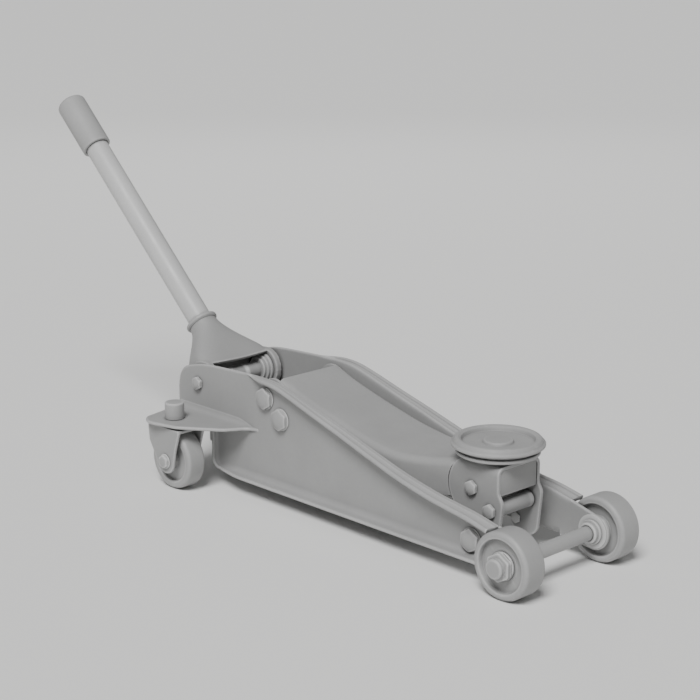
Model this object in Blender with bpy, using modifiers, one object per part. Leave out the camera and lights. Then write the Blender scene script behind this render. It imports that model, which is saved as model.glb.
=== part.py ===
"""Hydraulic trolley jack: a wheeled floor jack with a pumped lift arm.

Frame: +X runs forward to the front wheels, +Y to the jack's left, +Z up.
The origin is on the floor, in the middle of the bounding box.

Every length below is in millimetres. Stations are (x, z) pairs measured from
the front axle's centre line and from the floor; FRAME_SHIFT then moves them
to the origin, and MM turns them into metres.
"""

import math

import bmesh
import bpy
from mathutils import Matrix, Vector

MM = 0.001
GAP = 0.3                      # running clearance between neighbouring pieces
WELD = 0.00001                 # merge distance of modifiers, metres
CUT_MARGIN = 2.0               # how far a cutter reaches past what it cuts

# Front axle and wheels
AXLE_Z = 36.4
AXLE_RADIUS = 8.0
FRONT_WHEEL_WIDTH = 30.0
FRONT_WHEEL_INNER = 61.5
FRONT_WHEEL_RECESS = 28.5
FRONT_WHEEL_RECESS_DEPTH = 6.0
FRONT_WHEEL_HUB = 15.0
WASHER_RADIUS = 16.5
WASHER_THICKNESS = 3.0
CAP_NUT_HEX = 14.0
CAP_NUT_END = 11.0
CAP_NUT_HEX_LENGTH = 7.0
CAP_NUT_LENGTH = 12.5

# Side plates
WEB_INNER = 56.0
PLATE_THICKNESS = 4.0
WEB_OUTER = WEB_INNER + PLATE_THICKNESS
PLATE_BOTTOM = 20.0
PLATE_REAR = -550.0
REAR_EDGE = -482.0             # rear edge below the caster shelf
NOSE_RADIUS = 20.5
FLANGE_REAR = 69.0             # distance of the flange's edge from the middle plane
FLANGE_FRONT = 78.0
FLANGE_START = -405.0
FLANGE_END = -31.0
FLANGE_HEEL = 66.5             # the same at the rear edge and at the rear of the bottom edge
FLANGE_BOTTOM = 75.0
SHELF_BOTTOM = 79.5
SHELF_TOP = 83.5
TOP_EDGE = [(-31, 63.5), (-60, 69.8), (-88, 73.8), (-119, 78.5), (-163, 88.0), (-204, 99.5),
            (-256, 115.0), (-302, 128.0), (-343, 140.0), (-372, 146.5), (-405, 147.5)]
REAR_TOP_EDGE = [(-440, 146.0), (-480, 144.0), (-503, 142.0), (-520, 138.5), (-537, 133.0),
                 (-546, 123.0), (-549.5, 110.0)]

# Pivots
HANDLE_PIVOT = (-512.0, 117.0)
ARM_PIVOT = (-389.0, 124.0)
LINK_OFFSET = (26.0, -20.0)    # from each arm pivot to the matching link pivot
HEAD_PIVOT = (-91.5, 84.0)
LINK_REAR = (ARM_PIVOT[0] + LINK_OFFSET[0], ARM_PIVOT[1] + LINK_OFFSET[1])
LINK_FRONT = (HEAD_PIVOT[0] + LINK_OFFSET[0], HEAD_PIVOT[1] + LINK_OFFSET[1])
BRACE_BOLT = (-66.0, 39.5)
CHEEK_RIVET = (-83.0, 37.0)
PIN_RADIUS = 6.0
ARM_PIN_RADIUS = 8.0
BRACE_WASHER = 13.2
BRACE_WASHER_HEIGHT = 1.2
LARGE_HEAD = 13.0
LARGE_HEAD_HEIGHT = 8.0
SMALL_HEAD = 8.4
SMALL_HEAD_HEIGHT = 6.0
RIVET_RADIUS = 4.0
RIVET_HEAD = 6.5
RIVET_HEAD_HEIGHT = 4.0
RIVET_TAIL_HEIGHT = 2.7

# Lift arm: x, top, half width, bottom of the side wall
ARM_SECTIONS = [(-381, 146.0, 48.0, 113.0), (-365, 141.5, 48.0, 116.0), (-349, 135.5, 48.0, 112.0),
                (-313, 125.0, 48.0, 92.0), (-278, 116.0, 48.0, 74.0), (-244, 108.0, 48.0, 64.0),
                (-215, 103.0, 48.0, 62.0), (-189, 101.0, 46.0, 62.0), (-165, 102.0, 41.5, 63.0),
                (-143, 104.5, 37.3, 64.0), (-125, 107.5, 34.5, 66.5), (-108, 110.5, 33.3, 70.5)]
ARM_WALL = 4.0
ARM_CORNER = 9.0
ARM_EAR = 21.0
ARM_TUBE = 14.0
LUG_LENGTH = 57.0
LUG_ANGLE = -117.5             # degrees, direction from the arm pivot at rest
LUG_PIN = 5.0
LUG_END = (ARM_PIVOT[0] + LUG_LENGTH * math.cos(math.radians(LUG_ANGLE)),
           ARM_PIVOT[1] + LUG_LENGTH * math.sin(math.radians(LUG_ANGLE)))
LUG_EYE = 10.0
TONGUE_HALF = 17.0
TONGUE_NOSE = 18.0

# Saddle head and saddle
HEAD_HALF = 33.3
HEAD_WALL = 4.0
HEAD_REAR_RADIUS = 33.5
HEAD_FRONT = -55.0
HEAD_REAR = -107.5
HEAD_TOP = 113.0
HEAD_FACE = -56.0
TURRET_RADIUS = 30.0
TURRET_TOP = 116.2
SADDLE_X = -85.5
SADDLE_SPIGOT = 9.0
SPIGOT_END = 106.0

# Link between chassis and head
LINK_INNER = 20.0
LINK_OUTER = 26.0
LINK_REAR_EYE = 11.0
LINK_FRONT_TUBE = 9.0
LINK_HALF_HEIGHT = 6.5

# Handle: s runs up the handle from the pivot, n is square to it, up and forward
HANDLE_ELEVATION = 43.4
HANDLE_DROP = 6.0              # the tube's axis passes this far below the pivot
TUBE_RADIUS = 14.8
TUBE_BORE = 12.3
TUBE_START = 34.0
TUBE_END = 440.0
GRIP_RADIUS = 18.9
GRIP_START = 368.0
GRIP_END = 445.0
SOCKET_END = 84.0
LIP_RADIUS = 20.3
LIP_HALF = 3.0
YOKE_CUT = 10.0                # the wall between the ears ends here
EAR_RADIUS = 25.0
EAR_INNER = 44.0
EAR_OUTER = 52.0
YOKE_SECTIONS = [(84, 17.7, -17.7, 17.7, 2.0), (74, 19.0, -17.9, 18.0, 2.1),
                 (62, 26.2, -18.8, 18.7, 2.4), (50, 35.2, -20.0, 20.0, 2.8),
                 (38, 43.8, -21.0, 22.0, 3.4), (26, 50.2, -21.5, 25.0, 4.2),
                 (14, 52.0, -22.0, 28.5, 5.0), (4, 52.0, -22.0, 30.5, 6.0)]
CROSS_TUBE = 9.5
DISC_RADIUS = 19.0
ROLLER_DROP = 25.0
ROLLER_RADIUS = 8.0
ROLLER_HALF = 8.0
ROLLER_PIN = 4.0

# Power unit
RAM_Z = 66.0
RAM_RADIUS = 9.0
CYLINDER_RADIUS = 17.0
CYLINDER_FRONT = -437.0
UNIT_REAR = -540.0
UNIT_FRONT = -502.0
UNIT_HALF = 22.0
UNIT_TOP = 80.0
PLUNGER_Z = HANDLE_PIVOT[1] - ROLLER_DROP
PLUNGER_RADIUS = 5.0
PLUNGER_HEAD = 8.5
BARREL_REAR = -478.0
BARREL_FRONT = -444.0
SPRING_Y = -30.0

# Rear casters
CASTER_X = -506.0
CASTER_Y = 101.8
CASTER_TRAIL = 6.0
CASTER_WHEEL_RADIUS = 35.5
CASTER_WHEEL_HALF = 12.3
FORK_INNER = 16.8
FORK_OUTER = 20.3
FORK_TOP = 77.5
FORK_CROWN = 73.5
KINGPIN_RADIUS = 6.0
KINGPIN_CAP = 11.5
KINGPIN_CAP_TOP = 103.5
CASTER_PIN = 5.0

LEAN = math.radians(HANDLE_ELEVATION)
HANDLE_UP = Vector((-math.cos(LEAN), 0.0, math.sin(LEAN)))
HANDLE_FRONT = Vector((HANDLE_UP.z, 0.0, -HANDLE_UP.x))
HANDLE_BASE = Vector((HANDLE_PIVOT[0], 0.0, HANDLE_PIVOT[1])) - HANDLE_DROP * HANDLE_FRONT
REAR_LIMIT = HANDLE_BASE.x + GRIP_END * HANDLE_UP.x - GRIP_RADIUS * HANDLE_FRONT.x
FRAME_SHIFT = -(REAR_LIMIT + AXLE_Z) / 2


def world(x, y, z):
    """A point given in millimetres from the front axle, in metres from the origin."""
    return Vector(((x + FRAME_SHIFT) * MM, y * MM, z * MM))


def on_handle(s, y, n):
    """A point given by its distances up the handle, sideways and square to the handle."""
    point = HANDLE_BASE + s * HANDLE_UP + n * HANDLE_FRONT
    return world(point.x, y, point.z)


# ---------------------------------------------------------------- scene set-up

for existing in list(bpy.data.objects):
    bpy.data.objects.remove(existing, do_unlink=True)

PARTS = bpy.data.collections.new("trolley_jack")
CUTTERS = bpy.data.collections.new("cutters")
bpy.context.scene.collection.children.link(PARTS)
bpy.context.scene.collection.children.link(CUTTERS)


def make_material(name, colour, roughness, metallic):
    """A Principled material from one grey level, a roughness and a metallic value."""
    material = bpy.data.materials.new(name)
    material.use_nodes = True
    shader = material.node_tree.nodes["Principled BSDF"]
    shader.inputs["Base Color"].default_value = (*colour, 1.0)
    shader.inputs["Roughness"].default_value = roughness
    shader.inputs["Metallic"].default_value = metallic
    return material


PAINT = make_material("frame_paint", (0.32, 0.32, 0.32), 0.45, 0.0)
ARM_PAINT = make_material("arm_paint", (0.34, 0.34, 0.34), 0.45, 0.0)
STEEL = make_material("bright_steel", (0.42, 0.42, 0.42), 0.35, 1.0)
CAST = make_material("cast_iron", (0.28, 0.28, 0.28), 0.6, 0.0)
WHEEL = make_material("wheel_grey", (0.36, 0.36, 0.36), 0.5, 0.0)
RUBBER = make_material("grip_rubber", (0.33, 0.33, 0.33), 0.7, 0.0)


# ---------------------------------------------------------------- small helpers

def new_object(name, mesh, material, collection=PARTS):
    """Put a mesh in the model, or among the cutters when it has no material."""
    obj = bpy.data.objects.new(name, mesh)
    collection.objects.link(obj)
    if material is not None:
        mesh.materials.append(material)
    if collection is CUTTERS:
        obj.hide_render = True
        obj.display_type = "WIRE"
    return obj


def home(material):
    """The collection a piece goes in: cutters have no material."""
    return CUTTERS if material is None else PARTS


def from_bmesh(name, bm, material, origin=None):
    """Finish a bmesh as an object, with its origin at the given point in metres."""
    mesh = bpy.data.meshes.new(name)
    bm.to_mesh(mesh)
    bm.free()
    obj = new_object(name, mesh, material, home(material))
    if origin is not None:
        mesh.transform(Matrix.Translation(-origin))
        obj.location = origin
    return obj


def box(name, x_range, y_range, z_range, material=None):
    """A box between limits in millimetres."""
    bm = bmesh.new()
    bmesh.ops.create_cube(bm, size=1.0)
    low = world(x_range[0], y_range[0], z_range[0])
    high = world(x_range[1], y_range[1], z_range[1])
    size = high - low
    bmesh.ops.scale(bm, verts=bm.verts, vec=size)
    bmesh.ops.translate(bm, verts=bm.verts, vec=(low + high) / 2)
    return from_bmesh(name, bm, material, (low + high) / 2)


def turn_towards(direction):
    """The rotation that takes +Z to a direction."""
    return Vector((0.0, 0.0, 1.0)).rotation_difference(Vector(direction))


def rod(name, radius, start, end, material=None, segments=16):
    """A solid cylinder between two points in metres."""
    axis = end - start
    bm = bmesh.new()
    bmesh.ops.create_cone(bm, cap_ends=True, segments=segments, radius1=radius * MM,
                          radius2=radius * MM, depth=axis.length)
    matrix = turn_towards(axis).to_matrix().to_4x4()
    matrix.translation = (start + end) / 2
    bmesh.ops.transform(bm, matrix=matrix, verts=bm.verts)
    return from_bmesh(name, bm, material, (start + end) / 2)


def cross_rod(name, radius, station, y_range, material=None, segments=16):
    """A cylinder along Y at an (x, z) station."""
    start = world(station[0], y_range[0], station[1])
    end = world(station[0], y_range[1], station[1])
    return rod(name, radius, start, end, material, segments)


def turned(name, profile, origin, direction, material=None, steps=24):
    """Turn a profile of (radius, height) pairs, listed down its outer side.

    A profile that starts and ends on the axis makes a solid; one that closes on
    itself makes a ring.
    """
    mesh = bpy.data.meshes.new(name)
    points = [(radius * MM, 0.0, height * MM) for radius, height in profile]
    edges = [(i, i + 1) for i in range(len(points) - 1)]
    if profile[0][0] > 0:
        edges.append((len(points) - 1, 0))
    mesh.from_pydata(points, edges, [])
    obj = new_object(name, mesh, material, home(material))
    obj.location = origin
    obj.rotation_mode = "QUATERNION"
    obj.rotation_quaternion = turn_towards(direction)
    screw = obj.modifiers.new("turn", "SCREW")
    screw.axis = "Z"
    screw.steps = steps
    screw.render_steps = steps
    screw.use_merge_vertices = True
    screw.merge_threshold = WELD
    screw.use_smooth_shade = True
    return obj


def ring_profile(outer, inner, low, high, chamfer=0.0):
    """A plain ring with an optional chamfer on its outer edges."""
    if chamfer:
        return [(inner, high), (outer - chamfer, high), (outer, high - chamfer),
                (outer, low + chamfer), (outer - chamfer, low), (inner, low)]
    return [(inner, high), (outer, high), (outer, low), (inner, low)]


def outline_solid(name, points, half_low, half_high, plane, material=None):
    """A flat outline given thickness, as a filled 2D curve made into a mesh.

    plane "XZ" gives the thickness along Y, plane "XY" along Z.
    """
    curve = bpy.data.curves.new(name, "CURVE")
    curve.dimensions = "2D"
    curve.fill_mode = "BOTH"
    curve.extrude = (half_high - half_low) / 2 * MM
    spline = curve.splines.new("POLY")
    spline.points.add(len(points) - 1)
    for spline_point, (a, b) in zip(spline.points, points):
        spline_point.co = ((a + FRAME_SHIFT) * MM, b * MM, 0.0, 1.0)
    spline.use_cyclic_u = True
    flat = bpy.data.objects.new(name + "_curve", curve)
    CUTTERS.objects.link(flat)
    middle = (half_low + half_high) / 2 * MM
    if plane == "XZ":
        flat.rotation_euler = (math.pi / 2, 0.0, 0.0)
        flat.location = (0.0, middle, 0.0)
    else:
        flat.location = (0.0, 0.0, middle)
    return curve_to_mesh(flat, name, material)


def curve_to_mesh(curve_object, name, material):
    """Replace a curve object by a welded mesh in the same place."""
    bpy.context.view_layer.update()
    evaluated = curve_object.evaluated_get(bpy.context.evaluated_depsgraph_get())
    mesh = bpy.data.meshes.new_from_object(evaluated)
    mesh.name = name
    mesh.materials.clear()
    bm = bmesh.new()
    bm.from_mesh(mesh)
    bmesh.ops.transform(bm, matrix=curve_object.matrix_world, verts=bm.verts)
    bmesh.ops.remove_doubles(bm, verts=bm.verts, dist=WELD)
    bmesh.ops.recalc_face_normals(bm, faces=bm.faces)
    bm.to_mesh(mesh)
    bm.free()
    bpy.data.objects.remove(curve_object, do_unlink=True)
    return new_object(name, mesh, material, home(material))


def boolean(target, tool, operation, solver="EXACT"):
    """A live Boolean; the tool stays among the cutters."""
    modifier = target.modifiers.new(operation.lower(), "BOOLEAN")
    modifier.operation = operation
    modifier.solver = solver
    modifier.object = tool


def cut(target, *tools):
    """Take tools away from a piece."""
    for tool in tools:
        boolean(target, tool, "DIFFERENCE")


def join(target, *tools):
    """Join tools to a piece as one body."""
    for tool in tools:
        boolean(target, tool, "UNION")


def arc(centre, radius, start, end, count):
    """Points along an arc, angles in degrees."""
    points = []
    for i in range(count + 1):
        angle = math.radians(start + (end - start) * i / count)
        points.append((centre[0] + radius * math.cos(angle), centre[1] + radius * math.sin(angle)))
    return points


def smooth_line(stations, steps):
    """A Catmull-Rom line through stations of any number of values."""
    result = []
    last = len(stations) - 1
    for i in range(last):
        before = stations[max(i - 1, 0)]
        start = stations[i]
        end = stations[i + 1]
        after = stations[min(i + 2, last)]
        for k in range(steps):
            t = k / steps
            result.append(tuple(
                0.5 * (2 * b + (c - a) * t + (2 * a - 5 * b + 4 * c - d) * t * t
                       + (3 * b - a - 3 * c + d) * t * t * t)
                for a, b, c, d in zip(before, start, end, after)))
    result.append(tuple(stations[last]))
    return result


def capsule(start, end, radius_start, radius_end, count=8):
    """The outline of a bar with two round ends."""
    direction = math.degrees(math.atan2(end[1] - start[1], end[0] - start[0]))
    length = math.dist(start, end)
    lean = math.degrees(math.asin((radius_start - radius_end) / length))
    back = arc(start, radius_start, direction + 90 - lean, direction + 270 + lean, count)
    front = arc(end, radius_end, direction - 90 + lean, direction + 90 - lean, count)
    return back + front


def body_empty(name, location):
    """An empty on a joint's axis; the pieces that move with it are parented to it."""
    empty = bpy.data.objects.new(name, None)
    empty.empty_display_size = 0.02
    empty.location = location
    PARTS.objects.link(empty)
    return empty


def carry(parent, *pieces):
    """Parent pieces without moving them."""
    bpy.context.view_layer.update()
    for piece in pieces:
        piece.parent = parent
        piece.matrix_parent_inverse = parent.matrix_world.inverted()


def hexagon_head(name, radius, height, station, side, face, material=None):
    """A hexagon prism with softened corners, standing out from y = side * face."""
    start = world(station[0], side * face, station[1])
    end = world(station[0], side * (face + height), station[1])
    head = rod(name, radius, start, end, material, segments=6)
    soften(head, radius * 0.15, 1)
    return head


def soften(obj, width, segments=2, angle=35.0):
    """Round the sharp edges of a piece."""
    bevel = obj.modifiers.new("soften", "BEVEL")
    bevel.width = width * MM
    bevel.segments = segments
    bevel.limit_method = "ANGLE"
    bevel.angle_limit = math.radians(angle)


def thicken(obj, thickness):
    """Give an open surface an even thickness behind its outward side."""
    sheet = obj.modifiers.new("sheet", "SOLIDIFY")
    sheet.solidify_mode = "NON_MANIFOLD"
    sheet.nonmanifold_thickness_mode = "CONSTRAINTS"
    sheet.thickness = thickness * MM
    sheet.offset = -1.0


def through_bolt(name, station, shank, head_radius, head_height, face):
    """A bolt through both sides, its head on the right, with a cap nut on the left."""
    bolt = cross_rod(name + "_bolt", shank, station, (-face - GAP - 1.0, face + 5.0), STEEL)
    head = hexagon_head(name + "_head", head_radius, head_height, station, -1, face + GAP)
    join(bolt, head)
    nut = hexagon_head(name + "_nut", head_radius, head_height, station, 1, face + GAP, STEEL)
    cut(nut, cross_rod(name + "_nut_bore", shank + GAP, station, (face - CUT_MARGIN, face + 5.0 + GAP)))
    return bolt, nut


# ---------------------------------------------------------------- chassis

def plate_outline():
    """The side plate's outline, with a flag on each point where the flange runs."""
    flanged = []
    plain_front = arc((0.0, AXLE_Z), NOSE_RADIUS, -104, 36, 10) + [(6.0, 53.5), (-10.0, 57.0)]
    bottom = arc((REAR_EDGE + 13.0, PLATE_BOTTOM + 13.0), 13.0, 180, 270, 5)
    flanged += [(REAR_EDGE, SHELF_BOTTOM + 1.0, True)]
    flanged += [(x, z, True) for x, z in bottom]
    flanged += [(FLANGE_END - 14.0, PLATE_BOTTOM, True)]
    flanged += [(x, z, False) for x, z in plain_front]
    flanged += [(x, z, True) for x, z in smooth_line(TOP_EDGE, 2)]
    flanged += [(x, z, False) for x, z in smooth_line(REAR_TOP_EDGE, 2)]
    flanged += [(PLATE_REAR, SHELF_BOTTOM + 1.0, False)]
    return flanged


def flange_edge(x, z):
    """How far from the middle plane the flange's edge lies."""
    if z < AXLE_Z or x < REAR_EDGE + 1.0:
        forward = min(1.0, max(0.0, (x - REAR_EDGE) / 60.0))
        return FLANGE_HEEL + (FLANGE_BOTTOM - FLANGE_HEEL) * forward
    forward = (x - FLANGE_START) / (FLANGE_END - FLANGE_START)
    return FLANGE_REAR + (FLANGE_FRONT - FLANGE_REAR) * forward


def shelf_outline(side):
    """The caster shelf, seen from above."""
    right = [(PLATE_REAR + 2.0, WEB_INNER + 0.5), (PLATE_REAR + 4.0, 76.0), (-541.0, 95.0)]
    right += arc((-515.0, 108.0), 24.0, 150, 70, 6)
    right += [(-478.0, 123.0), (-450.0, 103.0), (-432.0, 89.0), (-424.0, 77.0), (-416.0, WEB_INNER + 0.5)]
    return [(x, side * y) for x, y in right]


def side_plates():
    """The two pressed side plates; the left one is the right one mirrored."""
    right = side_plate("side_plate_right", -1)
    bpy.context.view_layer.update()
    evaluated = right.evaluated_get(bpy.context.evaluated_depsgraph_get())
    mesh = bpy.data.meshes.new_from_object(evaluated)
    mesh.transform(Matrix.Scale(-1.0, 4, Vector((0.0, 1.0, 0.0))))
    mesh.flip_normals()
    mesh.materials.clear()
    left = new_object("side_plate_left", mesh, PAINT)
    left.location = right.location * Vector((1.0, -1.0, 1.0))


def side_plate(name, side):
    """A pressed side plate: web, outward flanges and caster shelf."""
    bm = bmesh.new()
    outline = plate_outline()
    ring = [bm.verts.new(world(x, side * WEB_INNER, z)) for x, z, _ in outline]
    web = bm.faces.new(ring)
    outer = []
    for x, z, has_flange in outline:
        outer.append(bm.verts.new(world(x, side * flange_edge(x, z), z)) if has_flange else None)
    for i in range(len(ring)):
        k = (i + 1) % len(ring)
        if outer[i] and outer[k]:
            bm.faces.new((ring[k], ring[i], outer[i], outer[k]))
    bmesh.ops.recalc_face_normals(bm, faces=bm.faces)
    web.normal_update()
    if web.normal.y * side > 0:
        bmesh.ops.reverse_faces(bm, faces=bm.faces)
    plate = from_bmesh(name, bm, PAINT, world(-270.0, side * WEB_INNER, AXLE_Z))
    thicken(plate, PLATE_THICKNESS)
    shelf = outline_solid(name + "_shelf", shelf_outline(side), SHELF_BOTTOM, SHELF_TOP, "XY")
    boolean(plate, shelf, "UNION", "MANIFOLD")
    reach = (side * (WEB_INNER - CUT_MARGIN), side * (WEB_OUTER + CUT_MARGIN))
    holes = [((0.0, AXLE_Z), AXLE_RADIUS), (BRACE_BOLT, PIN_RADIUS), (ARM_PIVOT, ARM_PIN_RADIUS),
             (LINK_REAR, PIN_RADIUS), (HANDLE_PIVOT, PIN_RADIUS)]
    for index, (station, radius) in enumerate(holes):
        cut(plate, cross_rod("%s_hole_%d" % (name, index), radius + GAP, station, reach))
    kingpin_low = world(CASTER_X, side * CASTER_Y, SHELF_BOTTOM - CUT_MARGIN)
    kingpin_high = world(CASTER_X, side * CASTER_Y, SHELF_TOP + CUT_MARGIN)
    cut(plate, rod(name + "_kingpin_hole", KINGPIN_RADIUS + GAP, kingpin_low, kingpin_high))
    return plate


def front_axle():
    """The axle with its spacers, washers and cap nuts."""
    nut_face = FRONT_WHEEL_INNER + FRONT_WHEEL_WIDTH - FRONT_WHEEL_RECESS_DEPTH + WASHER_THICKNESS + 2 * GAP
    rod_end = nut_face + CAP_NUT_HEX_LENGTH
    station = (0.0, AXLE_Z)
    cross_rod("front_axle", AXLE_RADIUS, station, (-rod_end, rod_end), STEEL, 40)
    for label, side in (("right", -1), ("left", 1)):
        washer_face = nut_face - WASHER_THICKNESS - GAP
        turned("axle_washer_" + label,
               ring_profile(WASHER_RADIUS, AXLE_RADIUS + GAP, 0.0, WASHER_THICKNESS),
               world(0.0, side * washer_face, AXLE_Z), (0, side, 0), STEEL)
        spacer = [(AXLE_RADIUS + GAP, 8.0), (12.5, 8.0), (12.5, 4.0), (10.5, 4.0), (10.5, 0.0),
                  (AXLE_RADIUS + GAP, 0.0)]
        turned("axle_collar_" + label, spacer,
               world(0.0, side * (WEB_INNER - 8.0 - GAP), AXLE_Z), (0, side, 0), STEEL)
        nut = hexagon_head("axle_cap_nut_" + label, CAP_NUT_HEX, CAP_NUT_HEX_LENGTH, station, side,
                           nut_face, STEEL)
        end = cross_rod("axle_cap_nut_end_" + label, CAP_NUT_END, station,
                        (side * (nut_face + 1.0), side * (nut_face + CAP_NUT_LENGTH)))
        soften(end, 2.0, 1, 60.0)
        join(nut, end)
        cut(nut, cross_rod("axle_cap_nut_bore_" + label, AXLE_RADIUS + GAP, station,
                           (side * (nut_face - CUT_MARGIN), side * (rod_end + GAP))))


def front_wheel(label, side):
    """A thick steel wheel with both faces recessed around its hub."""
    inner = FRONT_WHEEL_INNER
    outer = inner + FRONT_WHEEL_WIDTH
    radius = AXLE_Z
    recess = FRONT_WHEEL_RECESS
    depth = FRONT_WHEEL_RECESS_DEPTH
    bore = AXLE_RADIUS + GAP
    edge = 3.0
    profile = [(bore, outer - depth), (recess - 1.0, outer - depth), (recess + 1.0, outer),
               (radius - edge, outer), (radius - edge / 3, outer - edge / 3), (radius, outer - edge),
               (radius, inner + edge), (radius - edge / 3, inner + edge / 3), (radius - edge, inner),
               (recess + 1.0, inner), (recess - 1.0, inner + depth), (FRONT_WHEEL_HUB, inner + depth),
               (FRONT_WHEEL_HUB, WEB_OUTER + 2 * GAP), (bore, WEB_OUTER + 2 * GAP)]
    wheel = turned("front_wheel_" + label, profile, world(0.0, 0.0, AXLE_Z), (0, side, 0), WHEEL, 28)
    carry(body_empty("front_wheel_%s_axis" % label, world(0.0, side * (inner + outer) / 2, AXLE_Z)), wheel)


def chassis():
    """Plates, axle and the fixed bolts; the brace bolts are screwed into the plates, over a washer."""
    side_plates()
    for label, side in (("right", -1), ("left", 1)):
        washer_low = WEB_OUTER + GAP
        washer_high = washer_low + BRACE_WASHER_HEIGHT
        bolt = hexagon_head("brace_bolt_" + label, LARGE_HEAD, LARGE_HEAD_HEIGHT - BRACE_WASHER_HEIGHT - GAP,
                            BRACE_BOLT, side, washer_high + GAP, STEEL)
        shank = cross_rod("brace_bolt_shank_" + label, PIN_RADIUS, BRACE_BOLT,
                          (side * WEB_INNER, side * (washer_high + CUT_MARGIN)))
        join(bolt, shank)
        washer = cross_rod("brace_washer_" + label, BRACE_WASHER, BRACE_BOLT,
                           (side * washer_low, side * washer_high), STEEL, 32)
        bore = (side * (washer_low - CUT_MARGIN), side * (washer_high + CUT_MARGIN))
        cut(washer, cross_rod("brace_washer_bore_" + label, PIN_RADIUS + GAP, BRACE_BOLT, bore, None, 32))
    front_axle()
    through_bolt("arm_pivot", ARM_PIVOT, ARM_PIN_RADIUS, LARGE_HEAD, LARGE_HEAD_HEIGHT, WEB_OUTER)
    through_bolt("link_pivot", LINK_REAR, PIN_RADIUS, LARGE_HEAD, LARGE_HEAD_HEIGHT, WEB_OUTER)
    through_bolt("handle_pivot", HANDLE_PIVOT, PIN_RADIUS, SMALL_HEAD, SMALL_HEAD_HEIGHT, WEB_OUTER)


# ---------------------------------------------------------------- power unit

def power_unit():
    """The casting that holds the lift cylinder and the pump barrel, on a beam between the plates."""
    block_ends = (UNIT_REAR, UNIT_FRONT - 2.0)
    unit = box("power_unit", block_ends, (-UNIT_HALF, UNIT_HALF), (30.0, UNIT_TOP - 2.0), CAST)
    soften(unit, 3.0, 1)
    beam_half = WEB_INNER - 2 * GAP
    beam = box("unit_beam", (UNIT_REAR + 3.0, UNIT_FRONT), (-beam_half, beam_half), (60.0, UNIT_TOP))
    cylinder_start = world(UNIT_FRONT - 4.0, 0, RAM_Z)
    cylinder_end = world(CYLINDER_FRONT, 0, RAM_Z)
    cylinder = rod("cylinder_body", CYLINDER_RADIUS, cylinder_start, cylinder_end, None, 28)
    barrel = box("barrel_body", (BARREL_REAR, BARREL_FRONT), (-13.0, 13.0), (RAM_Z + 12.0, PLUNGER_Z + 12.0))
    join(unit, beam, cylinder, barrel)
    bore_end = world(CYLINDER_FRONT + 5.0, 0, RAM_Z)
    cut(unit, rod("ram_bore", RAM_RADIUS + GAP, world(-500.0, 0, RAM_Z), bore_end),
        rod("plunger_bore", PLUNGER_RADIUS + GAP, world(BARREL_REAR - 5.0, 0, PLUNGER_Z),
            world(BARREL_FRONT - 3.0, 0, PLUNGER_Z)),
        rod("valve_bore", 5.0 + GAP, world(UNIT_REAR - 5.0, 0, 46.0), world(UNIT_REAR + 22.0, 0, 46.0)))
    gland_low = world(CYLINDER_FRONT + GAP, 0, RAM_Z)
    gland_high = world(CYLINDER_FRONT + 6.0, 0, RAM_Z)
    gland = rod("gland_nut", 15.0, gland_low, gland_high, STEEL, 6)
    cut(gland, rod("gland_bore", RAM_RADIUS + GAP, world(CYLINDER_FRONT - 5.0, 0, RAM_Z),
                   world(CYLINDER_FRONT + 10.0, 0, RAM_Z)))
    tank = box("reservoir", (-500.0, -430.0), (22.0, 42.0), (34.0, 98.0), PAINT)
    soften(tank, 5.0, 1)
    turned("filler_plug", [(0.0, 6.0), (5.5, 6.0), (6.5, 5.0), (6.5, 0.0), (0.0, 0.0)],
           world(-465.0, 32.0, 98.0 + GAP), (0, 0, 1), RUBBER, 20)


def release_valve():
    """The valve screw at the back of the power unit, which the twisted handle turns."""
    origin = world(UNIT_REAR, 0.0, 46.0)
    profile = [(0.0, 8.0), (6.0, 8.0), (7.0, 7.0), (7.0, GAP), (5.0, GAP), (5.0, -19.0), (3.0, -21.0),
               (0.0, -21.0)]
    stem = turned("release_valve", profile, origin, (-1, 0, 0), STEEL, 24)
    flat = box("release_valve_slot", (UNIT_REAR - 9.0, UNIT_REAR - 5.0), (-9.0, 9.0), (44.8, 47.2))
    cut(stem, flat)
    carry(body_empty("release_valve_axis", origin), stem)


def ram():
    """The ram and its slotted head, which pushes the arm's lug pin forward."""
    pin_x = LUG_END[0]
    head_rear = pin_x - 13.0
    rod_end = world(head_rear - GAP, 0, RAM_Z)
    rod_piece = rod("ram_rod", RAM_RADIUS, world(-498.0, 0, RAM_Z), rod_end, STEEL, 36)
    head = box("ram_head", (head_rear, pin_x + 12.0), (-11.0, 11.0), (52.0, 87.0), CAST)
    soften(head, 2.0, 1)
    half_slot = LUG_PIN + 0.9
    slot = arc((pin_x, 80.5 - half_slot), half_slot, 0, 180, 8)
    slot += arc((pin_x, 60.0 + half_slot), half_slot, 180, 360, 8)
    cut(head, outline_solid("ram_slot", slot, -15.0, 15.0, "XZ"))
    carry(body_empty("ram_axis", world(head_rear, 0, RAM_Z)), rod_piece, head)


def coil(name, start, end, radius, wire, turns, per_turn=7, material=STEEL):
    """A close coil of wire between two points in metres, as a poly line with thickness."""
    axis = end - start
    rotation = turn_towards(axis)
    curve = bpy.data.curves.new(name, "CURVE")
    curve.dimensions = "3D"
    curve.bevel_depth = wire * MM
    curve.bevel_resolution = 0
    curve.use_fill_caps = True
    curve.resolution_u = 1
    count = turns * per_turn
    spline = curve.splines.new("POLY")
    spline.points.add(count)
    for i in range(count + 1):
        angle = 2 * math.pi * i / per_turn
        rise = axis.length * i / count
        local = Vector((radius * MM * math.cos(angle), radius * MM * math.sin(angle), rise))
        spline.points[i].co = (*(rotation @ local), 1.0)
    wire_path = bpy.data.objects.new(name + "_path", curve)
    wire_path.location = start
    CUTTERS.objects.link(wire_path)
    return curve_to_mesh(wire_path, name, material)


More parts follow.
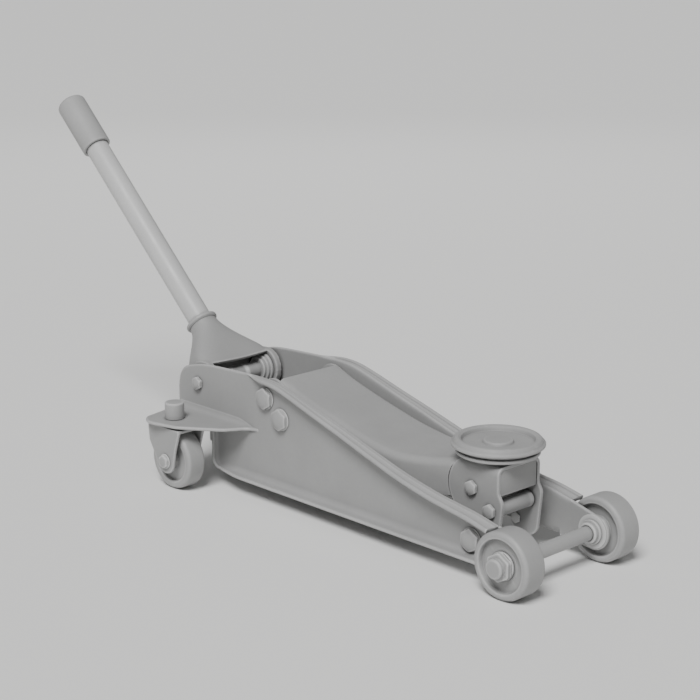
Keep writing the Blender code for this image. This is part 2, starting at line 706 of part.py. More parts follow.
def pump():
    """The plunger that the handle's roller pushes in, and the spring that returns it."""
    face = HANDLE_PIVOT[0] + ROLLER_RADIUS + GAP
    length = BARREL_FRONT - 22.0 - face
    profile = [(0.0, 0.0), (PLUNGER_HEAD, 0.0), (PLUNGER_HEAD, -3.0), (PLUNGER_RADIUS, -3.0),
               (PLUNGER_RADIUS, -length), (0.0, -length)]
    plunger = turned("pump_plunger", profile, world(face, 0.0, PLUNGER_Z), (-1, 0, 0), STEEL, 28)
    carry(body_empty("plunger_axis", world(face, 0.0, PLUNGER_Z)), plunger)
    spring_start = world(face + 4.6, 0.0, PLUNGER_Z)
    spring_end = world(BARREL_REAR - 1.6, 0.0, PLUNGER_Z)
    coil("plunger_spring", spring_start, spring_end, 7.3, 0.9, 4)


# ---------------------------------------------------------------- lift arm

def arm_section(x, top, half, bottom):
    """One inverted-U section of the pressed arm, from the right wall over to the left."""
    corner = [(half - ARM_CORNER + ARM_CORNER * math.cos(a), top - ARM_CORNER + ARM_CORNER * math.sin(a))
              for a in (0, math.pi / 6, math.pi / 3, math.pi / 2)]
    left = [(half, bottom), (half, (bottom + top - ARM_CORNER) / 2)] + corner
    right = [(-y, z) for y, z in left]
    return [world(x, y, z) for y, z in right + left[::-1]]


def outward(bm):
    """Turn the faces of an inverted-U sheet so that they look up and out."""
    bmesh.ops.recalc_face_normals(bm, faces=bm.faces)
    if sum(face.normal.z for face in bm.faces) < 0:
        bmesh.ops.reverse_faces(bm, faces=bm.faces)


def arm_shell():
    """The pressed arm: a loft of inverted-U sections with round ears at its pivot."""
    bm = bmesh.new()
    rows = [[bm.verts.new(point) for point in arm_section(*station)] for station in ARM_SECTIONS]
    for row, following in zip(rows, rows[1:]):
        for i in range(len(row) - 1):
            bm.faces.new((row[i], row[i + 1], following[i + 1], following[i]))
    outward(bm)
    shell = from_bmesh("lift_arm", bm, ARM_PAINT, world(ARM_PIVOT[0], 0.0, ARM_PIVOT[1]))
    thicken(shell, ARM_WALL)
    for side in (-1, 1):
        inner = ARM_SECTIONS[0][2] - ARM_WALL
        outer = ARM_SECTIONS[0][2]
        ear = outline_solid("arm_ear_%d" % side, arm_ear_outline(), min(side * inner, side * outer),
                            max(side * inner, side * outer), "XZ")
        join(shell, ear)
    cut(shell, cross_rod("arm_tube_hole", ARM_TUBE + GAP, ARM_PIVOT, (-60.0, 60.0), None, 24),
        cross_rod("arm_nose_cut", HEAD_REAR_RADIUS + 0.7, HEAD_PIVOT, (-60.0, 60.0), None, 48))
    return shell


def arm_ear_outline():
    """A round ear about the pivot that runs forward into the side wall."""
    return arc(ARM_PIVOT, ARM_EAR, 70, 290, 12) + [(-372.0, 112.0), (-366.0, 115.5), (-366.0, 138.0)]


def arm_lug():
    """The tube on the arm's pivot bolt, with the two lug plates and the pin that the ram pushes."""
    tube = cross_rod("arm_lug", ARM_TUBE, ARM_PIVOT, (-55.4, 55.4), CAST, 24)
    for side in (-1, 1):
        low, high = sorted((side * 12.0, side * 18.0))
        bar = capsule(ARM_PIVOT, LUG_END, ARM_TUBE - 5.0, LUG_EYE - 3.5)
        plate = outline_solid("lug_plate_%d" % side, bar, low, high, "XZ")
        eye = cross_rod("lug_eye_%d" % side, LUG_EYE, LUG_END, (low - 0.5, high + 0.5))
        join(tube, plate, eye)
    join(tube, cross_rod("lug_pin", LUG_PIN, LUG_END, (-36.0, 36.0)))
    cut(tube, cross_rod("lug_bore", ARM_PIN_RADIUS + GAP, ARM_PIVOT, (-60.0, 60.0)))
    return tube


def arm_tongue():
    """The forging under the arm's nose that carries the saddle head's pin."""
    tail = (-172.0, 86.5)
    outline = capsule(tail, HEAD_PIVOT, 9.5, TONGUE_NOSE)
    tongue = outline_solid("arm_tongue", outline, -TONGUE_HALF, TONGUE_HALF, "XZ", CAST)
    cut(tongue, cross_rod("tongue_bore", PIN_RADIUS + GAP, HEAD_PIVOT, (-30.0, 30.0)))
    return tongue


def lift_arm():
    """Everything that turns about the arm's pivot."""
    axis = body_empty("lift_arm_axis", world(ARM_PIVOT[0], 0.0, ARM_PIVOT[1]))
    carry(axis, arm_shell(), arm_lug(), arm_tongue())


def link():
    """The H-shaped link that keeps the saddle head level."""
    tube_half = LINK_OUTER + 1.2
    tube = cross_rod("levelling_link", LINK_FRONT_TUBE, LINK_FRONT, (-tube_half, tube_half), CAST)
    for side in (-1, 1):
        low, high = sorted((side * LINK_INNER, side * LINK_OUTER))
        outline = capsule(LINK_REAR, LINK_FRONT, LINK_HALF_HEIGHT, LINK_HALF_HEIGHT)
        bar = outline_solid("link_bar_%d" % side, outline, low, high, "XZ")
        eye = cross_rod("link_eye_%d" % side, LINK_REAR_EYE, LINK_REAR, (low - 0.5, high + 0.5))
        join(tube, bar, eye)
    cut(tube, cross_rod("link_front_bore", PIN_RADIUS + GAP, LINK_FRONT, (-40.0, 40.0)),
        cross_rod("link_rear_bore", PIN_RADIUS + GAP, LINK_REAR, (-40.0, 40.0)))
    carry(body_empty("levelling_link_axis", world(LINK_REAR[0], 0.0, LINK_REAR[1])), tube)


# ---------------------------------------------------------------- saddle head and saddle

def cheek_outline():
    """A cheek of the saddle head: round behind its pivot, with a lobe that hangs low in front."""
    shoulder = HEAD_TOP - ARM_CORNER
    start = 180.0 - math.degrees(math.asin((shoulder - HEAD_PIVOT[1]) / HEAD_REAR_RADIUS))
    rear = arc(HEAD_PIVOT, HEAD_REAR_RADIUS, start, 264, 12)
    lobe = arc((-72.0, 40.0), 20.0, 200, 335, 8)
    return rear + lobe + [(HEAD_FRONT + 6.0, 75.0), (HEAD_FRONT, 83.0), (HEAD_FRONT, shoulder)]


def head_cover():
    """The top of the saddle head, bent over from cheek to cheek."""
    bm = bmesh.new()
    rows = [[bm.verts.new(point) for point in arm_section(x, HEAD_TOP, HEAD_HALF, HEAD_TOP - 2 * ARM_CORNER)]
            for x in (HEAD_REAR, HEAD_FRONT)]
    for i in range(len(rows[0]) - 1):
        bm.faces.new((rows[0][i], rows[0][i + 1], rows[1][i + 1], rows[1][i]))
    outward(bm)
    cover = from_bmesh("saddle_head", bm, CAST, world(HEAD_PIVOT[0], 0.0, HEAD_PIVOT[1]))
    thicken(cover, HEAD_WALL)
    return cover


def cheek_rivet(label, side):
    """A rivet through the lower lobe of a cheek."""
    wall_inner = HEAD_HALF - HEAD_WALL
    inner = wall_inner - RIVET_TAIL_HEIGHT
    outer = HEAD_HALF + RIVET_HEAD_HEIGHT
    shank = (side * inner, side * (outer - 1.0))
    rivet = cross_rod("cheek_rivet_" + label, RIVET_RADIUS, CHEEK_RIVET, shank, STEEL)
    head = cross_rod("rivet_head_" + label, RIVET_HEAD, CHEEK_RIVET, (side * (HEAD_HALF + GAP), side * outer))
    soften(head, 1.5, 1)
    tail_height = RIVET_TAIL_HEIGHT - GAP
    tail = hexagon_head("rivet_tail_" + label, RIVET_HEAD, tail_height, CHEEK_RIVET, -side, GAP - wall_inner)
    join(rivet, head, tail)
    return rivet


def saddle_head():
    """The bracket that hangs level on the arm's nose and carries the saddle."""
    head = head_cover()
    for side in (-1, 1):
        low, high = sorted((side * (HEAD_HALF - HEAD_WALL), side * HEAD_HALF))
        join(head, outline_solid("head_cheek_%d" % side, cheek_outline(), low, high, "XZ"))
    wall_half = HEAD_HALF - HEAD_WALL / 2
    front = box("head_front_wall", (HEAD_FACE - HEAD_WALL, HEAD_FACE), (-wall_half, wall_half),
                (80.5, HEAD_TOP - HEAD_WALL / 2))
    turret = rod("head_turret", TURRET_RADIUS, world(SADDLE_X, 0, HEAD_TOP - HEAD_WALL + 0.5),
                 world(SADDLE_X, 0, TURRET_TOP), None, 40)
    keep = box("head_turret_keep", (HEAD_REAR - 1.0, HEAD_FRONT - 1.0), (-40.0, 40.0), (100.0, 130.0))
    boolean(turret, keep, "INTERSECT")
    join(head, front, turret)
    reach = (-HEAD_HALF - CUT_MARGIN, HEAD_HALF + CUT_MARGIN)
    spigot_low = world(SADDLE_X, 0, HEAD_TOP - HEAD_WALL - CUT_MARGIN)
    spigot_high = world(SADDLE_X, 0, TURRET_TOP + CUT_MARGIN)
    cut(head, rod("head_spigot_hole", SADDLE_SPIGOT + GAP, spigot_low, spigot_high),
        cross_rod("head_pin_hole", PIN_RADIUS + GAP, HEAD_PIVOT, reach),
        cross_rod("head_link_hole", PIN_RADIUS + GAP, LINK_FRONT, reach),
        cross_rod("head_rivet_hole", RIVET_RADIUS + GAP, CHEEK_RIVET, reach))
    pins = through_bolt("head_pin", HEAD_PIVOT, PIN_RADIUS, SMALL_HEAD, SMALL_HEAD_HEIGHT, HEAD_HALF)
    pins += through_bolt("link_pin", LINK_FRONT, PIN_RADIUS, SMALL_HEAD, SMALL_HEAD_HEIGHT, HEAD_HALF)
    rivets = (cheek_rivet("right", -1), cheek_rivet("left", 1))
    carry(body_empty("saddle_head_axis", world(HEAD_PIVOT[0], 0.0, HEAD_PIVOT[1])), head, *pins, *rivets)


def saddle():
    """The swivelling saddle: a flanged base ring with a spigot, and the dish on top of it."""
    base_top = 122.0
    base = [(0.0, base_top), (43.5, base_top), (45.4, base_top - 1.2), (45.4, TURRET_TOP + 1.8),
            (44.4, TURRET_TOP + 0.6), (SADDLE_SPIGOT, TURRET_TOP + 0.6), (SADDLE_SPIGOT, SPIGOT_END),
            (0.0, SPIGOT_END)]
    base_ring = turned("saddle_base", base, world(SADDLE_X, 0, 0), (0, 0, 1), STEEL, 32)
    low = base_top + GAP
    dish = [(0.0, 131.2), (15.5, 131.2), (17.2, 129.2), (37.5, 129.2), (40.5, 130.6), (42.2, 134.0),
            (43.8, 134.6), (45.6, 134.0), (50.4, 129.4), (50.4, 126.0), (49.5, 125.2), (44.0, 124.8),
            (44.0, low), (0.0, low)]
    dish_piece = turned("saddle_dish", dish, world(SADDLE_X, 0, 0), (0, 0, 1), CAST, 32)
    carry(body_empty("saddle_axis", world(SADDLE_X, 0.0, base_top)), base_ring, dish_piece)


# ---------------------------------------------------------------- handle

def yoke_section(s, half, back, front, power, count=20):
    """A rounded section across the handle: a circle at power 2, squarer as it grows."""
    middle = (back + front) / 2
    depth = (front - back) / 2
    points = []
    for i in range(count):
        angle = 2 * math.pi * i / count
        cosine = math.cos(angle)
        sine = math.sin(angle)
        y = half * math.copysign(abs(cosine) ** (2 / power), cosine)
        n = middle + depth * math.copysign(abs(sine) ** (2 / power), sine)
        points.append(on_handle(s, y, n))
    return points


def yoke():
    """The cast socket that holds the handle, with an ear on each side of the cross tube."""
    bm = bmesh.new()
    rows = [[bm.verts.new(point) for point in yoke_section(*station)] for station in YOKE_SECTIONS]
    for row, following in zip(rows, rows[1:]):
        for i in range(len(row)):
            k = (i + 1) % len(row)
            bm.faces.new((row[i], row[k], following[k], following[i]))
    bm.faces.new(rows[0])
    bm.faces.new(rows[-1][::-1])
    bmesh.ops.recalc_face_normals(bm, faces=bm.faces)
    casting = from_bmesh("handle_yoke", bm, CAST, world(HANDLE_PIVOT[0], 0.0, HANDLE_PIVOT[1]))
    lip_profile = [(10.0, LIP_HALF), (LIP_RADIUS - 1.6, LIP_HALF), (LIP_RADIUS, 1.2), (LIP_RADIUS, -1.2),
                   (LIP_RADIUS - 1.6, -LIP_HALF), (10.0, -LIP_HALF)]
    lip = turned("yoke_lip", lip_profile, on_handle(SOCKET_END, 0.0, 0.0), HANDLE_UP, None, 28)
    ears = cross_rod("yoke_ears", EAR_RADIUS, HANDLE_PIVOT, (-EAR_OUTER, EAR_OUTER), None, 36)
    join(casting, lip, ears)
    middle = (on_handle(YOKE_CUT - 60.0, 0.0, 6.0) + on_handle(YOKE_CUT, 0.0, 6.0)) / 2
    bm = bmesh.new()
    bmesh.ops.create_cube(bm, size=1.0)
    bmesh.ops.scale(bm, verts=bm.verts, vec=Vector((90.0, 2 * EAR_INNER, 60.0)) * MM)
    between = from_bmesh("yoke_gap", bm, None)
    between.rotation_mode = "QUATERNION"
    between.rotation_quaternion = turn_towards(HANDLE_UP)
    between.location = middle
    bore_start = on_handle(TUBE_START - 1.0, 0, 0)
    bore_end = on_handle(SOCKET_END + 16.0, 0, 0)
    bore = rod("socket_bore", TUBE_RADIUS + GAP, bore_start, bore_end, None, 28)
    room = cross_rod("yoke_disc_room", DISC_RADIUS + 1.0, HANDLE_PIVOT, (-EAR_INNER, EAR_INNER), None, 28)
    pin_hole = cross_rod("yoke_pin_hole", PIN_RADIUS + GAP, HANDLE_PIVOT, (-60.0, 60.0))
    for tool in (between, bore, room, pin_hole):
        boolean(casting, tool, "DIFFERENCE", "MANIFOLD")
    return casting


def cross_tube():
    """The tube between the ears, with stepped discs and the lever that holds the pump roller."""
    half = EAR_INNER - GAP
    tube = cross_rod("yoke_cross_tube", CROSS_TUBE, HANDLE_PIVOT, (-half, half), STEEL)
    roller = (HANDLE_PIVOT[0], PLUNGER_Z)
    for side in (-1, 1):
        for radius, reach, thickness in ((DISC_RADIUS, half, 3.5), (DISC_RADIUS - 5.0, half - 2.0, 5.5)):
            low, high = sorted((side * reach, side * (reach - thickness)))
            join(tube, cross_rod("cross_disc_%d_%d" % (side, radius), radius, HANDLE_PIVOT, (low, high)))
        low, high = sorted((side * (ROLLER_HALF + 1.0), side * (ROLLER_HALF + 5.0)))
        lever = capsule(HANDLE_PIVOT, roller, CROSS_TUBE - 0.5, 6.0)
        join(tube, outline_solid("roller_lever_%d" % side, lever, low, high, "XZ"))
    pin_half = ROLLER_HALF + 3.0
    join(tube, cross_rod("roller_pin", ROLLER_PIN, roller, (-pin_half, pin_half)))
    cut(tube, cross_rod("cross_tube_bore", PIN_RADIUS + GAP, HANDLE_PIVOT, (-60.0, 60.0)))
    profile = ring_profile(ROLLER_RADIUS, ROLLER_PIN + GAP, -ROLLER_HALF, ROLLER_HALF, 0.8)
    wheel = turned("pump_roller", profile, world(roller[0], 0.0, roller[1]), (0, 1, 0), STEEL)
    carry(body_empty("pump_roller_axis", world(roller[0], 0.0, roller[1])), wheel)
    return tube


def handle():
    """The tube and grip that pull the yoke over, and twist to open the release valve."""
    length = TUBE_END - TUBE_START
    profile = [(TUBE_BORE, length), (TUBE_RADIUS - 0.6, length), (TUBE_RADIUS, length - 0.6),
               (TUBE_RADIUS, 0.0), (TUBE_BORE, 0.0)]
    tube = turned("handle_tube", profile, on_handle(TUBE_START, 0, 0), HANDLE_UP, STEEL, 28)
    grip_length = GRIP_END - GRIP_START
    depth = TUBE_END - GRIP_START + GAP
    profile = [(0.0, grip_length), (GRIP_RADIUS - 5.0, grip_length), (GRIP_RADIUS - 1.5, grip_length - 1.5),
               (GRIP_RADIUS, grip_length - 5.0), (GRIP_RADIUS, 1.2), (GRIP_RADIUS - 1.2, 0.0),
               (TUBE_RADIUS + GAP, 0.0), (TUBE_RADIUS + GAP, depth), (0.0, depth)]
    grip = turned("handle_grip", profile, on_handle(GRIP_START, 0, 0), HANDLE_UP, RUBBER, 28)
    carry(body_empty("handle_twist_axis", on_handle(SOCKET_END, 0, 0)), tube, grip)


# ---------------------------------------------------------------- casters

def caster(label, side):
    """A rear caster: kingpin, fork, wheel and its axle bolt."""
    y = side * CASTER_Y
    hub = (CASTER_X + CASTER_TRAIL, CASTER_WHEEL_RADIUS)
    top = KINGPIN_CAP_TOP
    profile = [(0.0, top), (KINGPIN_CAP - 2.0, top), (KINGPIN_CAP, top - 2.0), (KINGPIN_CAP, SHELF_TOP + GAP),
               (KINGPIN_RADIUS, SHELF_TOP + GAP), (KINGPIN_RADIUS, FORK_CROWN), (0.0, FORK_CROWN)]
    kingpin = turned("caster_kingpin_" + label, profile, world(CASTER_X, y, 0.0), (0, 0, 1), STEEL)
    crown_half = FORK_OUTER - 1.0
    fork = box("caster_fork_" + label, (CASTER_X - 25.0, CASTER_X + 31.0), (y - crown_half, y + crown_half),
               (FORK_CROWN, FORK_TOP), PAINT)
    leg = [(CASTER_X - 26.0, FORK_TOP - 3.0), (CASTER_X - 24.0, 56.0)]
    leg += arc(hub, 15.0, 200, 340, 10)
    leg += [(CASTER_X + 24.5, 52.0), (CASTER_X + 32.0, FORK_TOP - 3.0), (CASTER_X + 29.0, FORK_TOP),
            (CASTER_X - 23.0, FORK_TOP)]
    for hand in (-1, 1):
        low, high = sorted((y + hand * FORK_INNER, y + hand * FORK_OUTER))
        join(fork, outline_solid("fork_leg_%s_%d" % (label, hand), leg, low, high, "XZ"))
    kingpin_low = world(CASTER_X, y, FORK_CROWN - CUT_MARGIN)
    kingpin_high = world(CASTER_X, y, FORK_TOP + CUT_MARGIN)
    cut(fork, cross_rod("fork_pin_hole_" + label, CASTER_PIN + GAP, hub, (y - 25.0, y + 25.0)),
        rod("fork_kingpin_hole_" + label, KINGPIN_RADIUS + GAP, kingpin_low, kingpin_high))
    bolt_range = (y - FORK_OUTER - 1.0, y + FORK_OUTER + 4.0)
    bolt = cross_rod("caster_bolt_" + label, CASTER_PIN, hub, bolt_range, STEEL)
    near = y - FORK_OUTER - GAP
    head = cross_rod("caster_bolt_head_" + label, 8.0, hub, (near - 5.0, near), None, 6)
    soften(head, 1.2, 1)
    join(bolt, head)
    far = y + FORK_OUTER + GAP
    nut = cross_rod("caster_nut_" + label, 8.0, hub, (far, far + 5.0), STEEL, 6)
    soften(nut, 1.2, 1)
    cut(nut, cross_rod("caster_nut_bore_" + label, CASTER_PIN + GAP, hub, (far - 3.0, far + 4.2)))
    swivel = body_empty("caster_swivel_" + label, world(CASTER_X, y, SHELF_BOTTOM))
    carry(swivel, kingpin, fork, bolt, nut)
    wheel = caster_wheel(label, y, hub)
    carry(body_empty("caster_wheel_axis_" + label, world(hub[0], y, hub[1])), wheel)


def caster_wheel(label, y, hub):
    """A caster wheel with a rim, a recessed web and a hub that fills the fork."""
    radius = CASTER_WHEEL_RADIUS
    half = CASTER_WHEEL_HALF
    bore = CASTER_PIN + GAP
    hub_half = FORK_INNER - GAP
    upper = [(bore, hub_half), (9.0, hub_half), (9.5, half - 5.0), (24.0, half - 5.0), (27.0, half),
             (radius - 4.0, half), (radius - 1.2, half - 1.2), (radius, half - 4.0)]
    lower = [(r, -h) for r, h in upper[::-1]]
    return turned("caster_wheel_" + label, upper + lower, world(hub[0], y, hub[1]), (0, 1, 0), WHEEL, 24)


# ---------------------------------------------------------------- return spring

def return_spring():
    """The spring that pulls the arm's lug pin back to the power unit."""
    start = world(UNIT_FRONT + 1.0, SPRING_Y, 68.0)
    end = world(LUG_END[0] - LUG_PIN - 1.5, SPRING_Y, LUG_END[1])
    coil("return_spring_right", start, end, 4.5, 0.9, 7)


# ---------------------------------------------------------------- assembly

def build():
    """Make every piece of the jack."""
    chassis()
    front_wheel("right", -1)
    front_wheel("left", 1)
    power_unit()
    release_valve()
    ram()
    pump()
    lift_arm()
    link()
    saddle_head()
    saddle()
    carry(body_empty("handle_axis", world(HANDLE_PIVOT[0], 0.0, HANDLE_PIVOT[1])), yoke(), cross_tube())
    handle()
    caster("right", -1)
    caster("left", 1)
    return_spring()


build()
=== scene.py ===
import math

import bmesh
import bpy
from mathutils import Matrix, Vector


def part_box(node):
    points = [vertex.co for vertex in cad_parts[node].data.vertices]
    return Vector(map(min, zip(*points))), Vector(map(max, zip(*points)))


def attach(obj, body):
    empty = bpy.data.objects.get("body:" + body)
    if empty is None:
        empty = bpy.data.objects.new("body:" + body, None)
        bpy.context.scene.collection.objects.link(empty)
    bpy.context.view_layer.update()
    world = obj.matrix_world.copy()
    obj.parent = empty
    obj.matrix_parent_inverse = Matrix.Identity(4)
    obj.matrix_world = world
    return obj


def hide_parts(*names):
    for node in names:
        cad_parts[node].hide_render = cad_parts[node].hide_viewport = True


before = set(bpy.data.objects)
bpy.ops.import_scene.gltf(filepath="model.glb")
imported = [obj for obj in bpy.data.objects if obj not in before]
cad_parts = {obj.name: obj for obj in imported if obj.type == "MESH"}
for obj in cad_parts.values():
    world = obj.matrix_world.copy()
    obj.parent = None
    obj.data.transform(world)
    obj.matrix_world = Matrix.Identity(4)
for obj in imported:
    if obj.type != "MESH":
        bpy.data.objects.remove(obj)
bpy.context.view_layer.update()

# Looks of a hydraulic trolley jack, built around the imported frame.
#
# Lengths are in millimetres, measured from the front axle's centre line (x), from the middle
# plane (y) and from the floor (z). The function at() turns such a point into the frame's metres.

MM = 0.001
AXLE_LOW, AXLE_HIGH = (Vector(corner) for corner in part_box("front_axle"))
AXLE_X = (AXLE_LOW.x + AXLE_HIGH.x) / 2
SIDES = (("right", -1), ("left", 1))
GAP = 0.3

# Material slots
PAINT = "frame_paint"
ARM_PAINT = "arm_paint"
STEEL = "bright_steel"
CAST = "cast_iron"
WHEEL_GREY = "wheel_grey"
RUBBER = "grip_rubber"

# Front axle and wheels; a pair of numbers is an (x, z) station
AXLE_Z = 36.4
AXLE = (0.0, AXLE_Z)
AXLE_RADIUS = 8.0
WHEEL_INNER = 61.5
WHEEL_OUTER = 91.5
WHEEL_RECESS = 28.6
WHEEL_RECESS_DEPTH = 6.0
WHEEL_BORE = AXLE_RADIUS + GAP
RIM_ROUND = 4.4

# Side plates
WEB_INNER = 56.0
SHEET = 4.0
WEB_OUTER = WEB_INNER + SHEET
PLATE_BOTTOM = 20.0
PLATE_REAR = -550.0
REAR_EDGE = -482.0
NOSE_RADIUS = 20.5
FLANGE_REAR = 69.0
FLANGE_FRONT = 78.0
FLANGE_BOTTOM = 75.0
FLANGE_HEEL = 66.5
WEB_INSET = 11.5
FLANGE_FADE = (-432.0, -388.0)
FLANGE_END = -31.0
SHELF_BOTTOM = 79.5
SHELF_TOP = 83.5
SHELF_EDGE = 10.5
TOP_EDGE = [(-31, 63.5), (-60, 69.8), (-88, 73.8), (-119, 78.5), (-163, 88.0), (-204, 99.5), (-256, 115.0),
            (-302, 128.0), (-343, 140.0), (-372, 146.5), (-405, 147.5), (-440, 146.0), (-480, 144.0),
            (-503, 142.0), (-520, 138.5), (-537, 133.0), (-546, 123.0), (-549.5, 110.0), (-550, 96.0)]

# Pivots
HANDLE_PIVOT = (-512.0, 117.0)
ARM_PIVOT = (-389.0, 124.0)
HEAD_PIVOT = (-91.5, 84.0)
LINK_OFFSET = (26.0, -20.0)
LINK_REAR = (ARM_PIVOT[0] + LINK_OFFSET[0], ARM_PIVOT[1] + LINK_OFFSET[1])
LINK_FRONT = (HEAD_PIVOT[0] + LINK_OFFSET[0], HEAD_PIVOT[1] + LINK_OFFSET[1])
BRACE_BOLT = (-66.0, 39.5)
CHEEK_RIVET = (-83.0, 37.0)
PIN_RADIUS = 6.0
ARM_PIN_RADIUS = 8.0
LARGE_HEAD = 13.0
SMALL_HEAD = 8.4
HEXAGON_CHAMFER = 0.965
BRACE_WASHER = 13.2

# Lift arm: x, top, half width, bottom of the side wall
ARM_SECTIONS = [(-381, 146.0, 48.0, 113.0), (-365, 141.5, 48.0, 116.0), (-349, 135.5, 48.0, 112.0),
                (-313, 125.0, 48.0, 92.0), (-278, 116.0, 48.0, 74.0), (-244, 108.0, 48.0, 64.0),
                (-215, 103.0, 48.0, 62.0), (-189, 101.0, 46.0, 62.0), (-165, 102.0, 41.5, 63.0),
                (-143, 104.5, 37.3, 64.0), (-125, 107.5, 34.5, 66.5), (-108, 110.5, 33.3, 70.5)]
ARM_CORNER = 9.0
ARM_EAR = 21.0
TUBE_HALF = 55.4
LUG_LENGTH = 57.0
LUG_ANGLE = math.radians(-117.5)
LUG_PIN = (ARM_PIVOT[0] + LUG_LENGTH * math.cos(LUG_ANGLE), ARM_PIVOT[1] + LUG_LENGTH * math.sin(LUG_ANGLE))

# Saddle head and saddle
HEAD_HALF = 33.3
HEAD_WALL = 4.0
HEAD_REAR_RADIUS = 33.5
HEAD_FRONT = -55.0
HEAD_REAR = -107.5
HEAD_TOP = 113.0
HEAD_FACE = -56.0
HEAD_SHOULDER = HEAD_TOP - ARM_CORNER
TURRET_RADIUS = 30.0
TURRET_TOP = 116.2
SADDLE_X = -85.5

# Handle: s runs up the handle from its pivot, n is square to it, up and forward
HANDLE_ELEVATION = math.radians(43.4)
HANDLE_DROP = 6.0
TUBE_RADIUS = 14.8
TUBE_END = 440.0
SOCKET_END = 84.0
GRIP_START = 368.0
GRIP_END = 445.0
GRIP_RADIUS = 18.9
HANDLE_UP = Vector((-math.cos(HANDLE_ELEVATION), 0.0, math.sin(HANDLE_ELEVATION)))
HANDLE_FRONT = Vector((HANDLE_UP.z, 0.0, -HANDLE_UP.x))
HANDLE_BASE = Vector((HANDLE_PIVOT[0], 0.0, HANDLE_PIVOT[1])) - HANDLE_DROP * HANDLE_FRONT
YOKE_SECTIONS = [(84, 17.7, -17.7, 17.7, 2.0), (74, 19.0, -17.9, 18.0, 2.1), (62, 26.2, -18.8, 18.7, 2.4),
                 (50, 35.2, -20.0, 20.0, 2.8), (38, 43.8, -21.0, 22.0, 3.4), (26, 50.2, -21.5, 25.0, 4.2),
                 (14, 52.0, -22.0, 28.5, 5.0), (4, 52.0, -22.0, 30.5, 6.0)]
YOKE_CUT = 10.0
YOKE_SAG = 2.5
EAR_INNER = 44.0
EAR_OUTER = 52.0
EAR_RADIUS = 25.0

# Casters
CASTER_X = -506.0
CASTER_Y = 101.8
CASTER_HUB = (-500.0, 35.5)
CASTER_RADIUS = 35.5
CASTER_HALF = 12.3
CASTER_RECESS_DEPTH = 5.0
CASTER_ROUND = 4.0
FORK_INNER = 16.8
FORK_OUTER = 20.3
FORK_TOP = 77.5

# Power unit
RAM_Z = 66.0
ROLLER_DROP = 25.0
ROLLER_RADIUS = 8.0
PLUNGER_Z = HANDLE_PIVOT[1] - ROLLER_DROP
UNIT_REAR = -540.0
UNIT_FRONT = -502.0
UNIT_HALF = 22.0
UNIT_TOP = 80.0
CYLINDER_FRONT = -437.0
BARREL = (-478.0, -444.0)
TANK_TOP = 98.0
SPRING_Y = -30.0
SPRING_WIRE = 0.9

# Camera, in millimetres, and the direction that the key light comes from
CAMERA = (1119.56, -1372.10, 710.55)
CAMERA_TARGET = (-311.68, 0.0, 185.27)
CAMERA_LENS = 92.94
KEY_FROM = (0.30, -0.52, 0.80)
KEY_STRENGTH = 3.3
KEY_SOFTNESS = 24.0


def at(x, y, z):
    """A point given in millimetres from the front axle, in the frame's metres."""
    return Vector((AXLE_X + x * MM, y * MM, z * MM))


def on_axis(station, y=0.0):
    """A point on the Y axis through an (x, z) station."""
    return at(station[0], y, station[1])


def on_handle(s, y, n):
    """A point given by its distances up the handle, sideways and square to the handle."""
    point = HANDLE_BASE + s * HANDLE_UP + n * HANDLE_FRONT
    return at(point.x, y, point.z)


# ---- materials

# How far the painted edge highlight and the painted crease shade reach, in millimetres.
EDGE_HIGHLIGHT_REACH = 3.0
CREASE_SHADE_REACH = 5.0
NOISE_SPAN = (0.3, 0.7)


def set_inputs(node, **values):
    """Set a shader node's inputs; an underscore in a name stands for a space."""
    for name, value in values.items():
        node.inputs[name.replace("_", " ")].default_value = value


def link_noise(tree, coordinates, scale, detail, roughness=0.5):
    """A noise texture on object coordinates."""
    noise = tree.nodes.new("ShaderNodeTexNoise")
    set_inputs(noise, Scale=scale, Detail=detail, Roughness=roughness)
    tree.links.new(coordinates, noise.inputs["Vector"])
    return noise.outputs["Fac"]


def map_range(tree, value, old, new):
    """A Map Range node from one interval to another."""
    node = tree.nodes.new("ShaderNodeMapRange")
    set_inputs(node, From_Min=old[0], From_Max=old[1], To_Min=new[0], To_Max=new[1])
    tree.links.new(value, node.inputs["Value"])
    return node.outputs["Result"]


def multiply(tree, first, second):
    """The product of two values."""
    node = tree.nodes.new("ShaderNodeMath")
    node.operation = "MULTIPLY"
    tree.links.new(first, node.inputs[0])
    tree.links.new(second, node.inputs[1])
    return node.outputs["Value"]


def occlusion(tree, distance, inside):
    """How open a point is within a distance: outwards over creases, or inwards under edges."""
    node = tree.nodes.new("ShaderNodeAmbientOcclusion")
    node.inputs["Distance"].default_value = distance * MM
    node.samples = 6
    node.inside = inside
    node.only_local = inside
    return node.outputs["AO"]


